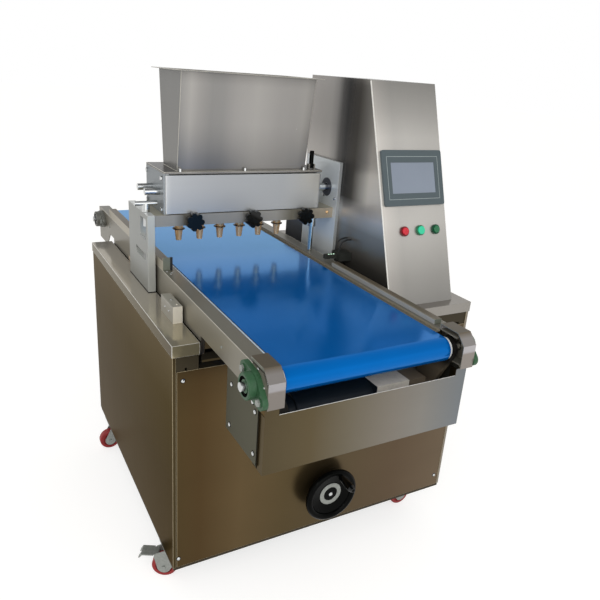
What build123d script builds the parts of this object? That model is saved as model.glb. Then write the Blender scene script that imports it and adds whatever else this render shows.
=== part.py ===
from build123d import *
import math
import os

# Cookie depositor: a wheeled cabinet with a dough head, a lifting belt conveyor and a control console.
# Built in millimetres: X = 0 on the conveyor centre line, Y = 0 on the cabinet front, Z = 0 on the floor.
# Every piece is moved once, on export, so that the origin is the centre of the outline on the floor.

# Fits
running_clearance = 0.06
free_clearance = 0.4
seat_clearance = 0.5

# Cabinet
cabinet_left = -346.0
cabinet_right = 617.0
cabinet_depth = 950.0
frame_bottom = 118.0
panel_bottom = 128.0
panel_drop = 73.0
deck_top = 815.0
sheet = 2.0
deck_lip = 32.0
frame_tube = 30.0
tube_wall = 2.5
front_return = 9.0
panel_gap = 2.0
slot_height = 8.0
pit_gap = 5.0

# Casters
wheel_radius = 38.0
wheel_width = 28.0
axle_radius = 5.0
kingpin_radius = 8.0
caster_plate = 4.0
caster_plate_x = 90.0
caster_plate_y = 70.0
caster_inset_x = 47.0
caster_inset_y = 104.0
caster_trail = 38.0
parked_turn = -28.0
fork_sheet = 3.0
fork_gap = 2.0
fork_front = 20.0
fork_cheek_radius = 20.0
swivel_radius = 27.0
swivel_height = 12.5
axle_end = 6.0
tread_round = 5.5
wheel_recess = 5.0
wheel_recess_radius = 26.0
wheel_hub_radius = 11.0
pedal_pin_back = 60.0
pedal_pin_z = 78.0
pedal_pin_radius = 2.5
pedal_barrel = 5.5
pedal_ear_radius = 8.0
pedal_ear_gap = 1.5
pedal_length = 46.0
pedal_half_width = 19.5
pedal_sheet = 3.5
pedal_toe_drop = 13.0
pedal_toe_reach = 8.0
pedal_notch_half = 7.0

# Conveyor
rail_width = 38.5
rail_gap = 7.5
rail_lift = 13.0
rail_sheet = 3.0
rail_foot_inset = 9.5
rail_rear_drop = 53.0
rail_rear_length = 180.0
conveyor_front = -371.0
conveyor_rear = 1180.0
belt_sink = 7.0
belt_thick = 2.0
belt_gap = 0.3
belt_clear = 2.0
belt_half = 218.0
roller_radius = 27.7
roller_margin = 7.0
front_axis_y = -317.0
rear_axis_y = 1120.0
roller_shaft_radius = 10.0
shaft_overhang = 37.0
bed_margin = 2.0
bed_flange = 13.0
cross_tube = 30.0
cross_count = 4

# Flange bearings with two bolts
bearing_bolt_spacing = 90.0
bearing_centre_radius = 32.0
bearing_end_radius = 17.0
bearing_flange = 12.0
bearing_barrel_radius = 29.0
bearing_barrel = 29.0
bearing_barrel_round = 3.0
bearing_recess_radius = 22.0
bearing_recess = 8.0
bearing_ring_radius = 14.5
bearing_ring = 6.0
bearing_tilt = 25.0
bolt_head_radius = 8.0
bolt_head = 6.0

# Front guard, end covers and drive
guard_front = -357.0
guard_drop = 9.0
guard_height = 157.0
guard_notch = 17.0
guard_tab = 32.0
guard_return = 25.0
cradle_front = -332.0
cradle_rear = -165.0
cradle_depth = 158.0
cover_width = 38.0
cover_length = 86.0
cover_rise = 12.0
cover_skirt = 7.0
cover_chamfer_y = 25.0
cover_chamfer_z = 25.0
cover_drop = 71.0
motor_y = -245.0
motor_rise = 53.0
motor_radius = 48.0
motor_left = -150.0
motor_cap = 19.0
motor_cap_radius = 43.0
motor_foot_half = 35.0
gearbox_left = 55.0
gearbox_right = 200.0
gearbox_half = 50.0
chain_guard_thick = 12.0
chain_guard_radius = 30.0

# Tray guides
guide_width = 22.0
guide_height = 14.0
guide_chamfer = 1.7
guide_front = -262.0
guide_rear = 225.0
left_guide_height = 28.0
left_guide_width = 25.0
left_guide_front = 325.0
left_guide_rear = 1000.0
guide_sheet = 3.0
guide_end_height = 38.0

# Lift
lift_beam = 40.0
lift_beam_front = 250.0
lift_beam_rear = 700.0
column_x = 190.0
column_radius = 12.5
column_bottom = 430.0
column_gap = 53.0
bush_radius = 20.0
bush_length = 128.0
screw_y = 475.0
screw_radius = 10.0
screw_gap = 55.0
nut_radius = 25.0
nut_length = 108.0
nut_thread = 50.0
nut_relief_radius = 14.0
screw_collar_radius = 20.0
shaft_block_half = 24.5
handwheel_z = 259.0
bevel_radius = 35.0
bevel_face = 15.0
shaft_block_y = 405.0
frame_beam_z = 350.0

# Handwheel
handwheel_radius = 87.0
handwheel_rim = 11.0
handwheel_face = 52.0
handwheel_hub_radius = 40.0
handwheel_hub = 36.0
handwheel_web = 9.0
handle_angle = 72.0
handle_reach = 68.0
handle_length = 68.0
handle_radius = 12.0
handle_neck_radius = 8.5
handle_waist = 10.0
handle_waist_radius = 9.5
handle_belly = 41.0
handle_shoulder = 58.0
handle_shoulder_radius = 11.4
handle_tip_radius = 7.2
handle_pin_radius = 5.0

# Posts
left_post_gap = 1.0
left_post_thick = 22.0
left_post_front = 375.0
left_post_rear = 587.0
left_post_rise = 2.0
window_front = 392.0
window_rear = 455.0
window_drop = 15.0
window_height = 60.0
post_slot_front = 398.0
post_slot_rear = 505.0
post_slot_rise = 101.0
post_slot_height = 20.0
right_post_thick = 12.0
right_post_front = 362.0
right_post_rear = 575.0
right_post_rise = 32.0

# Dough head
head_front = 381.0
head_back = 563.0
bar_lift = 113.0
bar_height = 33.0
head_height = 117.0
head_left_gap = 29.0
head_right_gap = 53.0
end_plate = 16.0
cover_plate = 6.0
cover_plate_gap = 3.0
cover_plate_height = 110.0
cover_plate_inset = 4.0
cover_plate_round = 3.5
back_plate = 10.0
feed_axis_y = 468.0
feed_axis_rise = 60.0
feed_spacing = 76.0
feed_radius = 36.0
feed_shaft_radius = 10.0
feed_end_gap = 3.0
flute_count = 12
flute_radius = 5.0
shaft_stub = 43.0
gear_teeth = 24
gear_width = 14.0
gear_addendum = 2.2
gear_dedendum = 3.0
gear_tip_half = 1.2
gear_root_half = 3.4
gear_backlash = 0.55
nozzle_count = 6
nozzle_pitch = 67.0
nozzle_row_centre = -10.0
nozzle_length = 66.0
nozzle_flange = 8.0
nozzle_flange_radius = 18.0
nozzle_top_radius = 15.5
nozzle_tip_radius = 8.5
nozzle_wall = 3.0
bar_bore = 11.0

# Hopper
hopper_centre_y = 458.0
hopper_bottom_half_y = 65.0
hopper_top_half_y = 101.0
hopper_height = 272.0
hopper_sheet = 2.0
hopper_rim = 18.0
hopper_base = 6.0
thumb_radius = 5.0
thumb_height = 10.0
thumb_spacing = 200.0
thumb_chamfer = 1.5
lever_inset = 30.0
lever_gap = 28.0
lever_y = 402.0
lever_radius = 7.0
lever_length = 48.0
lever_round = 3.5
lever_axis_height = 10.0
lever_pin_radius = 3.0
lever_ear = 4.0

# Star knobs, clamp screw and stop rod
knob_radius = 27.0
knob_lobes = 7
knob_lobe_radius = 8.0
knob_thick = 18.0
knob_neck = 8.0
knob_neck_radius = 13.0
knob_stud_radius = 5.0
knob_stud = 30.0
knob_positions = (-162.0, 25.0, 208.0)
knob_rise = 14.0
clamp_y = 428.0
clamp_bar = 66.0
clamp_bar_radius = 7.0
clamp_rise = 25.0
clamp_stem_radius = 8.0
clamp_collar_radius = 11.0
clamp_reach = 27.0
stop_rod_radius = 8.0
stop_collar_radius = 14.0
stop_collar = 28.0
stop_gap = 1.5
stop_y = 398.0

# Console
console_gap = 54.0
console_width = 241.0
console_front = 36.0
console_front_top = 258.0
console_back = 600.0
console_height = 632.0
hmi_width = 226.0
hmi_height = 166.0
hmi_proud = 7.0
hmi_corner = 7.0
hmi_slope_z = 383.0
hmi_shift = 3.0
screen_width = 164.0
screen_height = 92.0
screen_rise = 2.0
button_slope_z = 224.0
button_spacing = 60.0
button_shift = 15.0
collar_radius = 15.0
collar_height = 6.0
button_radius = 11.0
button_proud = 5.0
button_round = 1.6
button_stem = 14.0
lamp_radius = 12.0

# Accessory block, sensor and cables
block_width = 26.0
block_front = 130.0
block_rear = 235.0
block_height = 47.0
block_hole_radius = 3.3
block_hole_depth = 14.0
block_hole_spacing = 34.0
block_top_hole = 15.5
sensor_gap = 13.0
sensor_front = 262.0
sensor_depth = 50.0
sensor_sink = 2.0
sensor_height = 26.0
sensor_arm_reach = 29.0
sensor_arm_gap = 5.0
sensor_arm = 14.0
cable_radius = 2.5
cable_inset = 5.0
cable_run = 24.0
cable_spacing = 22.0

# Derived places
handwheel_x = (cabinet_left + cabinet_right) / 2
panel_top = deck_top - panel_drop
rail_bottom = deck_top + rail_lift
belt_inner_radius = roller_radius + belt_gap
belt_outer_radius = belt_inner_radius + belt_thick
roller_axis_z = rail_bottom + belt_clear + belt_outer_radius
belt_top = roller_axis_z + belt_outer_radius
rail_top = belt_top + belt_sink
guard_top = rail_bottom - guard_drop
guard_bottom = guard_top - guard_height
cradle_floor = rail_bottom - cradle_depth
motor_floor = cradle_floor + rail_sheet
motor_z = motor_floor + motor_rise
beam_top = rail_bottom
beam_bottom = beam_top - lift_beam
column_top = beam_bottom - column_gap
bush_bottom = beam_bottom - bush_length
nut_bottom = beam_bottom - nut_length
nut_top = nut_bottom + nut_thread
screw_top = beam_bottom - screw_gap
post_slot_z = deck_top + post_slot_rise
bed_half = belt_half + bed_margin
roller_half = belt_half + roller_margin
rail_inner = roller_half + rail_gap
rail_outer = rail_inner + rail_width
rail_foot = rail_width - rail_foot_inset
pit_half = rail_outer + pit_gap
left_post_inner = pit_half + left_post_gap
console_left = pit_half + console_gap
console_right = console_left + console_width
right_post_x0 = console_left - right_post_thick
end_plate_left = head_left_gap - left_post_inner
end_plate_right = right_post_x0 - head_right_gap
lever_x = end_plate_right - lever_inset
hopper_half_x = lever_x - lever_gap
sensor_left = rail_outer + sensor_gap
sensor_arm_left = rail_outer - sensor_arm_reach
bar_bottom = rail_top + bar_lift
bar_top = bar_bottom + bar_height
head_top = bar_top + head_height
base_top = head_top + hopper_base
hopper_top = base_top + hopper_height
feed_axis_z = bar_top + feed_axis_rise
knob_z = bar_bottom + knob_rise
left_post_top = bar_top + left_post_rise
right_post_top = head_top + right_post_rise
window_top = left_post_top - window_drop
window_bottom = window_top - window_height
clamp_bar_z = left_post_top + clamp_rise
clamp_bottom = window_top - clamp_reach
feed_front_y = feed_axis_y - feed_spacing / 2
feed_rear_y = feed_axis_y + feed_spacing / 2
console_top = deck_top + console_height
slope = math.atan2(console_front_top - console_front, console_height)


def block(x0, x1, y0, y1, z0, z1):
    return Pos((x0 + x1) / 2, (y0 + y1) / 2, (z0 + z1) / 2) * Box(x1 - x0, y1 - y0, z1 - z0)


def rod_x(radius, x0, x1, y, z):
    return Pos((x0 + x1) / 2, y, z) * Rot(0, 90, 0) * Cylinder(radius, x1 - x0)


def rod_y(radius, x, y0, y1, z):
    return Pos(x, (y0 + y1) / 2, z) * Rot(90, 0, 0) * Cylinder(radius, y1 - y0)


def rod_z(radius, x, y, z0, z1):
    return Pos(x, y, (z0 + z1) / 2) * Cylinder(radius, z1 - z0)


def prism_x(points, x0, x1):
    face = make_face(Polyline(*points, close=True))
    return extrude(Plane.YZ.offset(x0) * face, x1 - x0)


def prism_y(points, y0, y1):
    face = make_face(Polyline(*points, close=True))
    return extrude(Plane.XZ.offset(-y0) * face, -(y1 - y0))


def tube_box(x0, x1, y0, y1, z0, z1, axis):
    inset = [tube_wall, tube_wall, tube_wall]
    inset["xyz".index(axis)] = 0.0
    inner = block(x0 + inset[0], x1 - inset[0], y0 + inset[1], y1 - inset[1], z0 + inset[2], z1 - inset[2])
    return block(x0, x1, y0, y1, z0, z1) - inner


def mirrored_x(shape):
    return mirror(shape, Plane.YZ)


pieces = {}


def keep(shape, name):
    pieces[name] = list(shape.solids())


frame_tubes = []
frame_voids = []


def frame_member(x0, x1, y0, y1, z0, z1):
    w = tube_wall
    frame_tubes.append(block(x0, x1, y0, y1, z0, z1))
    frame_voids.append(block(x0 + w, x1 - w, y0 + w, y1 - w, z0 + w, z1 - w))


# Base frame of hollow square tube with the lift columns and the screw supports
frame_x0 = cabinet_left + sheet
frame_x1 = cabinet_right - sheet
frame_y0 = sheet
frame_y1 = cabinet_depth - sheet
deck_under = deck_top - sheet
lip_half = pit_half + sheet
half_tube = frame_tube / 2
fascia_bottom = panel_top + slot_height
column_beam_z = column_bottom - frame_tube
side_tubes = (frame_x0, frame_x1 - frame_tube)
end_tubes = (frame_y0, frame_y1 - frame_tube)
lift_beams = (lift_beam_front, lift_beam_rear)
for z0 in (frame_bottom, panel_top - frame_tube):
    for y0 in end_tubes:
        frame_member(frame_x0, frame_x1, y0, y0 + frame_tube, z0, z0 + frame_tube)
    for x0 in side_tubes:
        frame_member(x0, x0 + frame_tube, frame_y0, frame_y1, z0, z0 + frame_tube)
for x0 in side_tubes:
    x1 = x0 + frame_tube
    for y0 in end_tubes:
        frame_member(x0, x1, y0, y0 + frame_tube, frame_bottom, deck_under)
    for z1 in (deck_under, column_bottom, frame_beam_z):
        frame_member(x0, x1, frame_y0, frame_y1, z1 - frame_tube, z1)
for y0 in end_tubes:
    y1 = y0 + frame_tube
    frame_member(frame_x0, -lip_half, y0, y1, fascia_bottom, deck_under)
    frame_member(lip_half, frame_x1, y0, y1, fascia_bottom, deck_under)
for x0 in (-lip_half - frame_tube, lip_half):
    x1 = x0 + frame_tube
    frame_member(x0, x1, frame_y0, frame_y1, deck_under - frame_tube, deck_under)
    for y0 in end_tubes:
        frame_member(x0, x1, y0, y0 + frame_tube, panel_top - frame_tube, deck_under)
for y in lift_beams:
    frame_member(frame_x0, frame_x1, y - half_tube, y + half_tube, column_beam_z, column_bottom)
for y in (shaft_block_y, screw_y):
    frame_member(frame_x0, frame_x1, y - half_tube, y + half_tube, frame_beam_z - frame_tube, frame_beam_z)
base_frame = frame_tubes[0].fuse(*frame_tubes[1:]).cut(*frame_voids)
shaft_block = block(
    handwheel_x - shaft_block_half,
    handwheel_x + shaft_block_half,
    shaft_block_y - half_tube,
    shaft_block_y + half_tube,
    handwheel_z - shaft_block_half,
    frame_beam_z,
)
screw_boss = rod_z(nut_radius, handwheel_x, screw_y, frame_beam_z - frame_tube, frame_beam_z + sheet)
column_foot = column_bottom - tube_wall
columns = []
for x in (-column_x, column_x):
    for y in lift_beams:
        columns.append(rod_z(column_radius, x, y, column_foot, column_top))
base_frame = base_frame.fuse(shaft_block, screw_boss, *columns)
lift_bore = screw_radius + running_clearance
base_frame -= rod_y(lift_bore, handwheel_x, 0, cabinet_depth / 2, handwheel_z)
base_frame -= rod_z(lift_bore, handwheel_x, screw_y, handwheel_z, column_bottom)
keep(base_frame, "base_frame")

# Wrap-around shell: left side, back and right side, with narrow returns at the front
shell_top = deck_under
outer_shell = block(cabinet_left, cabinet_right, 0, cabinet_depth, panel_bottom, shell_top)
inner_shell = block(frame_x0, frame_x1, sheet, frame_y1, panel_bottom, shell_top)
front_opening = block(
    cabinet_left + front_return, cabinet_right - front_return, 0, sheet, panel_bottom, shell_top
)
rear_pit = block(-lip_half, lip_half, frame_y1, cabinet_depth, panel_top, shell_top)
cabinet_shell = outer_shell - inner_shell - front_opening - rear_pit
keep(cabinet_shell, "cabinet_shell")

# Front panel with the hole of the handwheel shaft
panel_left = cabinet_left + front_return + panel_gap
panel_right = cabinet_right - front_return - panel_gap
front_panel = block(panel_left, panel_right, 0, sheet, panel_bottom, panel_top)
front_panel -= rod_y(screw_radius + free_clearance, handwheel_x, 0, sheet, handwheel_z)
keep(front_panel, "front_panel")


def deck(x0, x1, outer_side):
    lip_bottom = deck_top - deck_lip
    body = block(x0, x1, -sheet, cabinet_depth + sheet, deck_under, deck_top)
    body += block(x0, x1, -sheet, 0, lip_bottom, deck_top)
    body += block(x0, x1, cabinet_depth, cabinet_depth + sheet, lip_bottom, deck_top)
    outer0 = x0 if outer_side < 0 else x1 - sheet
    inner0 = x1 - sheet if outer_side < 0 else x0
    body += block(outer0, outer0 + sheet, -sheet, cabinet_depth + sheet, lip_bottom, deck_top)
    body += block(inner0, inner0 + sheet, -sheet, cabinet_depth + sheet, lip_bottom, deck_top)
    return body


# Left and right decks with turned-down lips, one on each side of the conveyor pit
keep(deck(cabinet_left - sheet, -pit_half, -1), "left_deck")
keep(deck(pit_half, cabinet_right + sheet, 1), "right_deck")

# Casters: plate and kingpin, swivel fork with axle, wheel, and brake pedals on the front pair
caster_x = (cabinet_left + caster_inset_x, cabinet_right - caster_inset_x)
caster_y = (caster_inset_y, cabinet_depth - caster_inset_y)
plate_bottom = frame_bottom - caster_plate
swivel_top = plate_bottom - seat_clearance
swivel_bottom = swivel_top - swivel_height
fork_half = wheel_width / 2 + fork_gap
fork_outer = fork_half + fork_sheet


def caster_plate_solid(x, y):
    half_x = caster_plate_x / 2
    half_y = caster_plate_y / 2
    plate = block(x - half_x, x + half_x, y - half_y, y + half_y, plate_bottom, frame_bottom)
    return plate + rod_z(kingpin_radius, x, y, swivel_bottom - seat_clearance, plate_bottom)


def caster_fork(with_ears):
    fork = rod_z(swivel_radius, 0, 0, swivel_bottom, swivel_top)
    leg_top = swivel_bottom + seat_clearance
    outline = (Pos(-caster_trail, wheel_radius) * Circle(fork_cheek_radius)).edges()
    outline += [Edge.make_line((-swivel_radius, leg_top), (fork_front, leg_top))]
    if with_ears:
        outline += (Pos(-pedal_pin_back, pedal_pin_z) * Circle(pedal_ear_radius)).edges()
    cheek = make_hull(outline)
    for y0 in (-fork_outer, fork_half):
        fork += extrude(Plane.XZ.offset(-y0) * cheek, -fork_sheet)
    axle_half = fork_half + axle_end
    fork += rod_y(axle_radius, -caster_trail, -axle_half, axle_half, wheel_radius)
    if with_ears:
        fork += rod_y(pedal_pin_radius, -pedal_pin_back, -fork_outer, fork_outer, pedal_pin_z)
    king_bore = kingpin_radius + running_clearance
    return fork - rod_z(king_bore, 0, 0, swivel_bottom - seat_clearance, swivel_top)


def caster_wheel():
    half = wheel_width / 2
    tread = rod_y(wheel_radius, -caster_trail, -half, half, wheel_radius)
    tread = fillet(tread.edges().filter_by(GeomType.CIRCLE), tread_round)
    for y0 in (-half, half - wheel_recess):
        recess = rod_y(wheel_recess_radius, -caster_trail, y0, y0 + wheel_recess, wheel_radius)
        hub = rod_y(wheel_hub_radius, -caster_trail, y0, y0 + wheel_recess, wheel_radius)
        tread -= recess - hub
    return tread - rod_y(axle_radius + running_clearance, -caster_trail, -half, half, wheel_radius)


def caster_pedal():
    half = fork_half - seat_clearance
    root = -pedal_pin_back
    bend = root - pedal_length
    top = pedal_pin_z + pedal_barrel
    under = top - pedal_sheet
    neck = root - pedal_ear_radius - pedal_ear_gap
    pedal = rod_y(pedal_barrel, root, -half, half, pedal_pin_z)
    pedal += block(neck, root, -half, half, under, top)
    pedal += block(bend, neck, -pedal_half_width, pedal_half_width, under, top)
    toe = [
        (bend, top),
        (bend - pedal_toe_reach, top - pedal_toe_drop),
        (bend - pedal_toe_reach + pedal_sheet, top - pedal_toe_drop),
        (bend + pedal_sheet, under),
        (bend + pedal_sheet, top),
    ]
    pedal += prism_y(toe, -pedal_half_width, pedal_half_width)
    toe_tip = bend - pedal_toe_reach
    pedal -= block(toe_tip, bend, -pedal_notch_half, pedal_notch_half, top - pedal_toe_drop, top)
    return pedal - rod_y(pedal_pin_radius + running_clearance, root, -half, half, pedal_pin_z)


caster_plates = []
for side_y, y in zip(("front", "rear"), caster_y):
    for side_x, x in zip(("left", "right"), caster_x):
        caster = f"{side_y}_{side_x}"
        spot = Pos(x, y, 0) * Rot(0, 0, parked_turn if caster == "front_left" else 0)
        caster_plates.append(caster_plate_solid(x, y))
        keep(spot * caster_fork(side_y == "front"), f"caster_fork_{caster}")
        keep(spot * caster_wheel(), f"caster_wheel_{caster}")
        if side_y == "front":
            keep(spot * caster_pedal(), f"caster_pedal_{side_x}")
keep(Compound(children=caster_plates), "caster_plates")

# Conveyor rails: folded channels, cut back at the front under the end covers and deeper at the rear
rail_front = conveyor_front + sheet
rail_chamfer = [
    (rail_front, rail_bottom),
    (rail_front, rail_top - cover_chamfer_z),
    (rail_front + cover_chamfer_y, rail_top),
]
rail_profile = rail_chamfer + [
    (conveyor_rear, rail_top),
    (conveyor_rear, rail_bottom - rail_rear_drop),
    (conveyor_rear - rail_rear_length + rail_rear_drop, rail_bottom - rail_rear_drop),
    (conveyor_rear - rail_rear_length, rail_bottom),
]
takeup_slot = roller_shaft_radius + sheet


def shaft_slot(y, reach, x0, x1):
    cut = rod_x(takeup_slot, x0, x1, y - reach, roller_axis_z)
    cut += rod_x(takeup_slot, x0, x1, y + reach, roller_axis_z)
    slot_low = roller_axis_z - takeup_slot
    return cut + block(x0, x1, y - reach, y + reach, slot_low, slot_low + takeup_slot * 2)


left_rail = prism_x(rail_profile, -rail_outer, -rail_outer + rail_sheet)
left_rail += block(
    -rail_outer, -rail_inner, rail_front + cover_chamfer_y, conveyor_rear, rail_top - rail_sheet, rail_top
)
left_rail += block(
    -rail_outer,
    -rail_outer + rail_foot,
    rail_front,
    conveyor_rear - rail_rear_length,
    rail_bottom,
    rail_bottom + rail_sheet,
)
left_rail -= rod_x(takeup_slot, -rail_outer - sheet, -rail_inner, front_axis_y, roller_axis_z)
left_rail -= shaft_slot(rear_axis_y, takeup_slot, -rail_outer - sheet, -rail_inner)
keep(Compound(children=[left_rail, mirrored_x(left_rail)]), "conveyor_rails")

# Tray guides: a low bar on the right rail and a folded channel on the left rail
guide_right = rail_inner + guide_width
guide_top = rail_top + guide_height
right_guide = block(rail_inner, guide_right, guide_front, guide_rear, rail_top, guide_top)
right_guide = chamfer(right_guide.edges().filter_by(Axis.Y).group_by(Axis.Z)[-1], guide_chamfer)
left_guide = block(
    -rail_outer,
    -rail_outer + left_guide_width,
    left_guide_front,
    left_guide_rear,
    rail_top,
    rail_top + left_guide_height,
)
left_guide -= block(
    -rail_outer + guide_sheet,
    -rail_outer + left_guide_width - guide_sheet,
    left_guide_front,
    left_guide_rear,
    rail_top,
    rail_top + left_guide_height - guide_sheet,
)
left_guide += block(
    -rail_outer,
    -rail_outer + left_guide_width,
    left_guide_front - guide_sheet,
    left_guide_front,
    rail_top,
    rail_top + guide_end_height,
)
keep(Compound(children=[left_guide, right_guide]), "tray_guides")

# Slider bed under the belt with the cross tubes that join the rails
bed_top = belt_top - belt_thick
bed_front = front_axis_y + belt_outer_radius
bed_rear = rear_axis_y - belt_outer_radius
bed_under = bed_top - bed_flange
conveyor_bed = block(-bed_half, bed_half, bed_front, bed_rear, bed_top - sheet, bed_top)
for x0 in (-bed_half, bed_half - sheet):
    conveyor_bed += block(x0, x0 + sheet, bed_front, bed_rear, bed_under, bed_top)
cross_reach = rail_outer - rail_sheet
cross_first = bed_front + cross_tube
cross_step = (bed_rear - cross_tube * 2 - cross_first) / (cross_count - 1)
for i in range(cross_count):
    y0 = cross_first + i * cross_step
    y1 = y0 + cross_tube
    conveyor_bed += tube_box(-cross_reach, cross_reach, y0, y1, bed_under - cross_tube, bed_under, "x")
keep(conveyor_bed, "conveyor_bed")


def loop_profile(radius):
    front = (front_axis_y, roller_axis_z)
    rear = (rear_axis_y, roller_axis_z)
    shape = Pos(*front) * Circle(radius) + Pos(*rear) * Circle(radius)
    length = rear_axis_y - front_axis_y
    return shape + Pos((front_axis_y + rear_axis_y) / 2, roller_axis_z) * Rectangle(length, radius * 2)


# Endless belt round the two rollers
belt_face = loop_profile(belt_outer_radius) - loop_profile(belt_inner_radius)
belt = extrude(Plane.YZ.offset(-belt_half) * belt_face, belt_half * 2)
keep(belt, "belt")


def conveyor_roller(y):
    reach = rail_outer + shaft_overhang
    roller = rod_x(roller_radius, -roller_half, roller_half, y, roller_axis_z)
    return roller + rod_x(roller_shaft_radius, -reach, reach, y, roller_axis_z)


keep(conveyor_roller(front_axis_y), "front_roller")
keep(conveyor_roller(rear_axis_y), "rear_roller")


def flange_bearing(y, side, tilt):
    outward = Plane(
        origin=(side * rail_outer, y, roller_axis_z),
        x_dir=(0, math.cos(math.radians(tilt)), math.sin(math.radians(tilt))),
        z_dir=(side, 0, 0),
    )
    reach = bearing_bolt_spacing / 2
    outline = Circle(bearing_centre_radius).edges()
    for end in (-reach, reach):
        outline += (Pos(end, 0) * Circle(bearing_end_radius)).edges()
    housing = extrude(outward * make_hull(outline), bearing_flange)
    barrel = extrude(outward * Circle(bearing_barrel_radius), bearing_barrel)
    barrel = fillet(barrel.edges().sort_by(Axis.X)[-1 if side > 0 else 0], bearing_barrel_round)
    housing += barrel
    recess_floor = bearing_barrel - bearing_recess
    housing -= extrude(outward.offset(recess_floor) * Circle(bearing_recess_radius), bearing_recess)
    housing += extrude(outward * Circle(bearing_ring_radius), recess_floor + bearing_ring)
    for end in (-reach, reach):
        bolt = Pos(end, 0) * RegularPolygon(bolt_head_radius, 6)
        housing += extrude(outward * bolt, bearing_flange + bolt_head)
    return housing - extrude(outward * Circle(roller_shaft_radius + running_clearance), bearing_barrel)


bearings = []
for side in (-1, 1):
    bearings.append(flange_bearing(front_axis_y, side, bearing_tilt))
    bearings.append(flange_bearing(rear_axis_y, side, 0))
keep(Compound(children=bearings), "flange_bearings")

# End covers: bent strips raised over the front ends of the rails, with a skirt along the outer edge
cover_top = rail_top + cover_rise
cover_rear = conveyor_front + cover_length
cover_bottom = rail_top - cover_drop
bend_y = conveyor_front + cover_chamfer_y
bend_z = cover_top - cover_chamfer_z
cover_slope = math.atan2(cover_chamfer_z, cover_chamfer_y)
top_fold = sheet * math.tan(cover_slope / 2)
front_fold = sheet * math.tan(math.pi / 4 - cover_slope / 2)
cover_profile = [
    (cover_rear, rail_top),
    (cover_rear, cover_top),
    (bend_y, cover_top),
    (conveyor_front, bend_z),
    (conveyor_front, cover_bottom),
    (conveyor_front + sheet, cover_bottom),
    (conveyor_front + sheet, bend_z - front_fold),
    (bend_y + top_fold, cover_top - sheet),
    (cover_rear - sheet, cover_top - sheet),
    (cover_rear - sheet, rail_top),
]
cover_edge = -rail_outer
left_cover = prism_x(cover_profile, cover_edge, cover_edge + cover_width)
left_cover += block(cover_edge, cover_edge + sheet, bend_y, cover_rear, cover_top - cover_skirt, cover_top)
keep(Compound(children=[left_cover, mirrored_x(left_cover)]), "end_covers")

# Cradle under the front of the conveyor: two side plates joined by a floor that carries the gearmotor
cradle_half = rail_outer - rail_sheet
cradle = block(-cradle_half, cradle_half, cradle_front, cradle_rear, cradle_floor, motor_floor)
for x0 in (-rail_outer, cradle_half):
    cradle += block(x0, x0 + rail_sheet, cradle_front, cradle_rear, cradle_floor, rail_bottom)
for x0 in (-rail_outer, rail_outer - rail_foot):
    cradle += block(x0, x0 + rail_foot, cradle_front, cradle_rear, rail_bottom - rail_sheet, rail_bottom)
keep(cradle, "drive_cradle")

# Front guard: plate with raised tabs at both ends, side returns and a bottom return
guard_face = [
    (-cradle_half, guard_bottom),
    (cradle_half, guard_bottom),
    (cradle_half, guard_top),
    (cradle_half - guard_tab, guard_top),
    (cradle_half - guard_tab, guard_top - guard_notch),
    (-cradle_half + guard_tab, guard_top - guard_notch),
    (-cradle_half + guard_tab, guard_top),
    (-cradle_half, guard_top),
]
front_guard = prism_y(guard_face, guard_front, guard_front + sheet)
return_rear = cradle_front + guard_return
side_top = guard_top - guard_notch
guard_sole = guard_bottom + sheet
front_guard += block(-cradle_half, cradle_half, guard_front, return_rear, guard_bottom, guard_sole)
for x0 in (-cradle_half, cradle_half - sheet):
    x1 = x0 + sheet
    front_guard += block(x0, x1, guard_front, cradle_front, guard_bottom, side_top)
    front_guard += block(x0, x1, cradle_front, return_rear, motor_floor, side_top)
keep(front_guard, "front_guard")

# Gearmotor of the belt: round motor with an end cap and a square gearbox on feet
belt_motor = rod_x(motor_radius, motor_left, gearbox_left, motor_y, motor_z)
belt_motor += rod_x(motor_cap_radius, motor_left - motor_cap, motor_left, motor_y, motor_z)
gearbox_front = motor_y - gearbox_half
gearbox_rear = motor_y + gearbox_half
gearbox_top = motor_z + gearbox_half
belt_motor += block(gearbox_left, gearbox_right, gearbox_front, gearbox_rear, motor_floor, gearbox_top)
belt_motor += block(
    motor_left + motor_radius,
    gearbox_left,
    motor_y - motor_foot_half,
    motor_y + motor_foot_half,
    motor_floor,
    motor_z,
)
belt_motor += rod_x(roller_shaft_radius, gearbox_right, rail_inner, motor_y, motor_z)
keep(belt_motor, "belt_gearmotor")

# Chain guard from the gearbox up to the front roller
chain_x0 = roller_half + sheet
chain_x1 = chain_x0 + chain_guard_thick
run = math.hypot(front_axis_y - motor_y, roller_axis_z - motor_z)
lean = math.degrees(math.atan2(roller_axis_z - motor_z, front_axis_y - motor_y))
chain_face = Pos(motor_y, motor_z) * Circle(chain_guard_radius)
chain_face += Pos(front_axis_y, roller_axis_z) * Circle(chain_guard_radius)
chain_face += (
    Pos((motor_y + front_axis_y) / 2, (motor_z + roller_axis_z) / 2)
    * Rot(0, 0, lean)
    * Rectangle(run, chain_guard_radius * 2)
)
chain_guard = extrude(Plane.YZ.offset(chain_x0) * chain_face, chain_guard_thick)
chain_top = motor_z + chain_guard_radius
chain_guard += block(gearbox_right, chain_x1, gearbox_front, gearbox_rear, motor_floor, chain_top)
chain_bore = roller_shaft_radius + free_clearance
chain_guard -= rod_x(chain_bore, chain_x0, chain_x1, front_axis_y, roller_axis_z)
chain_guard -= rod_x(roller_shaft_radius, gearbox_right, chain_x1, motor_y, motor_z)
keep(chain_guard, "chain_guard")

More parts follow.
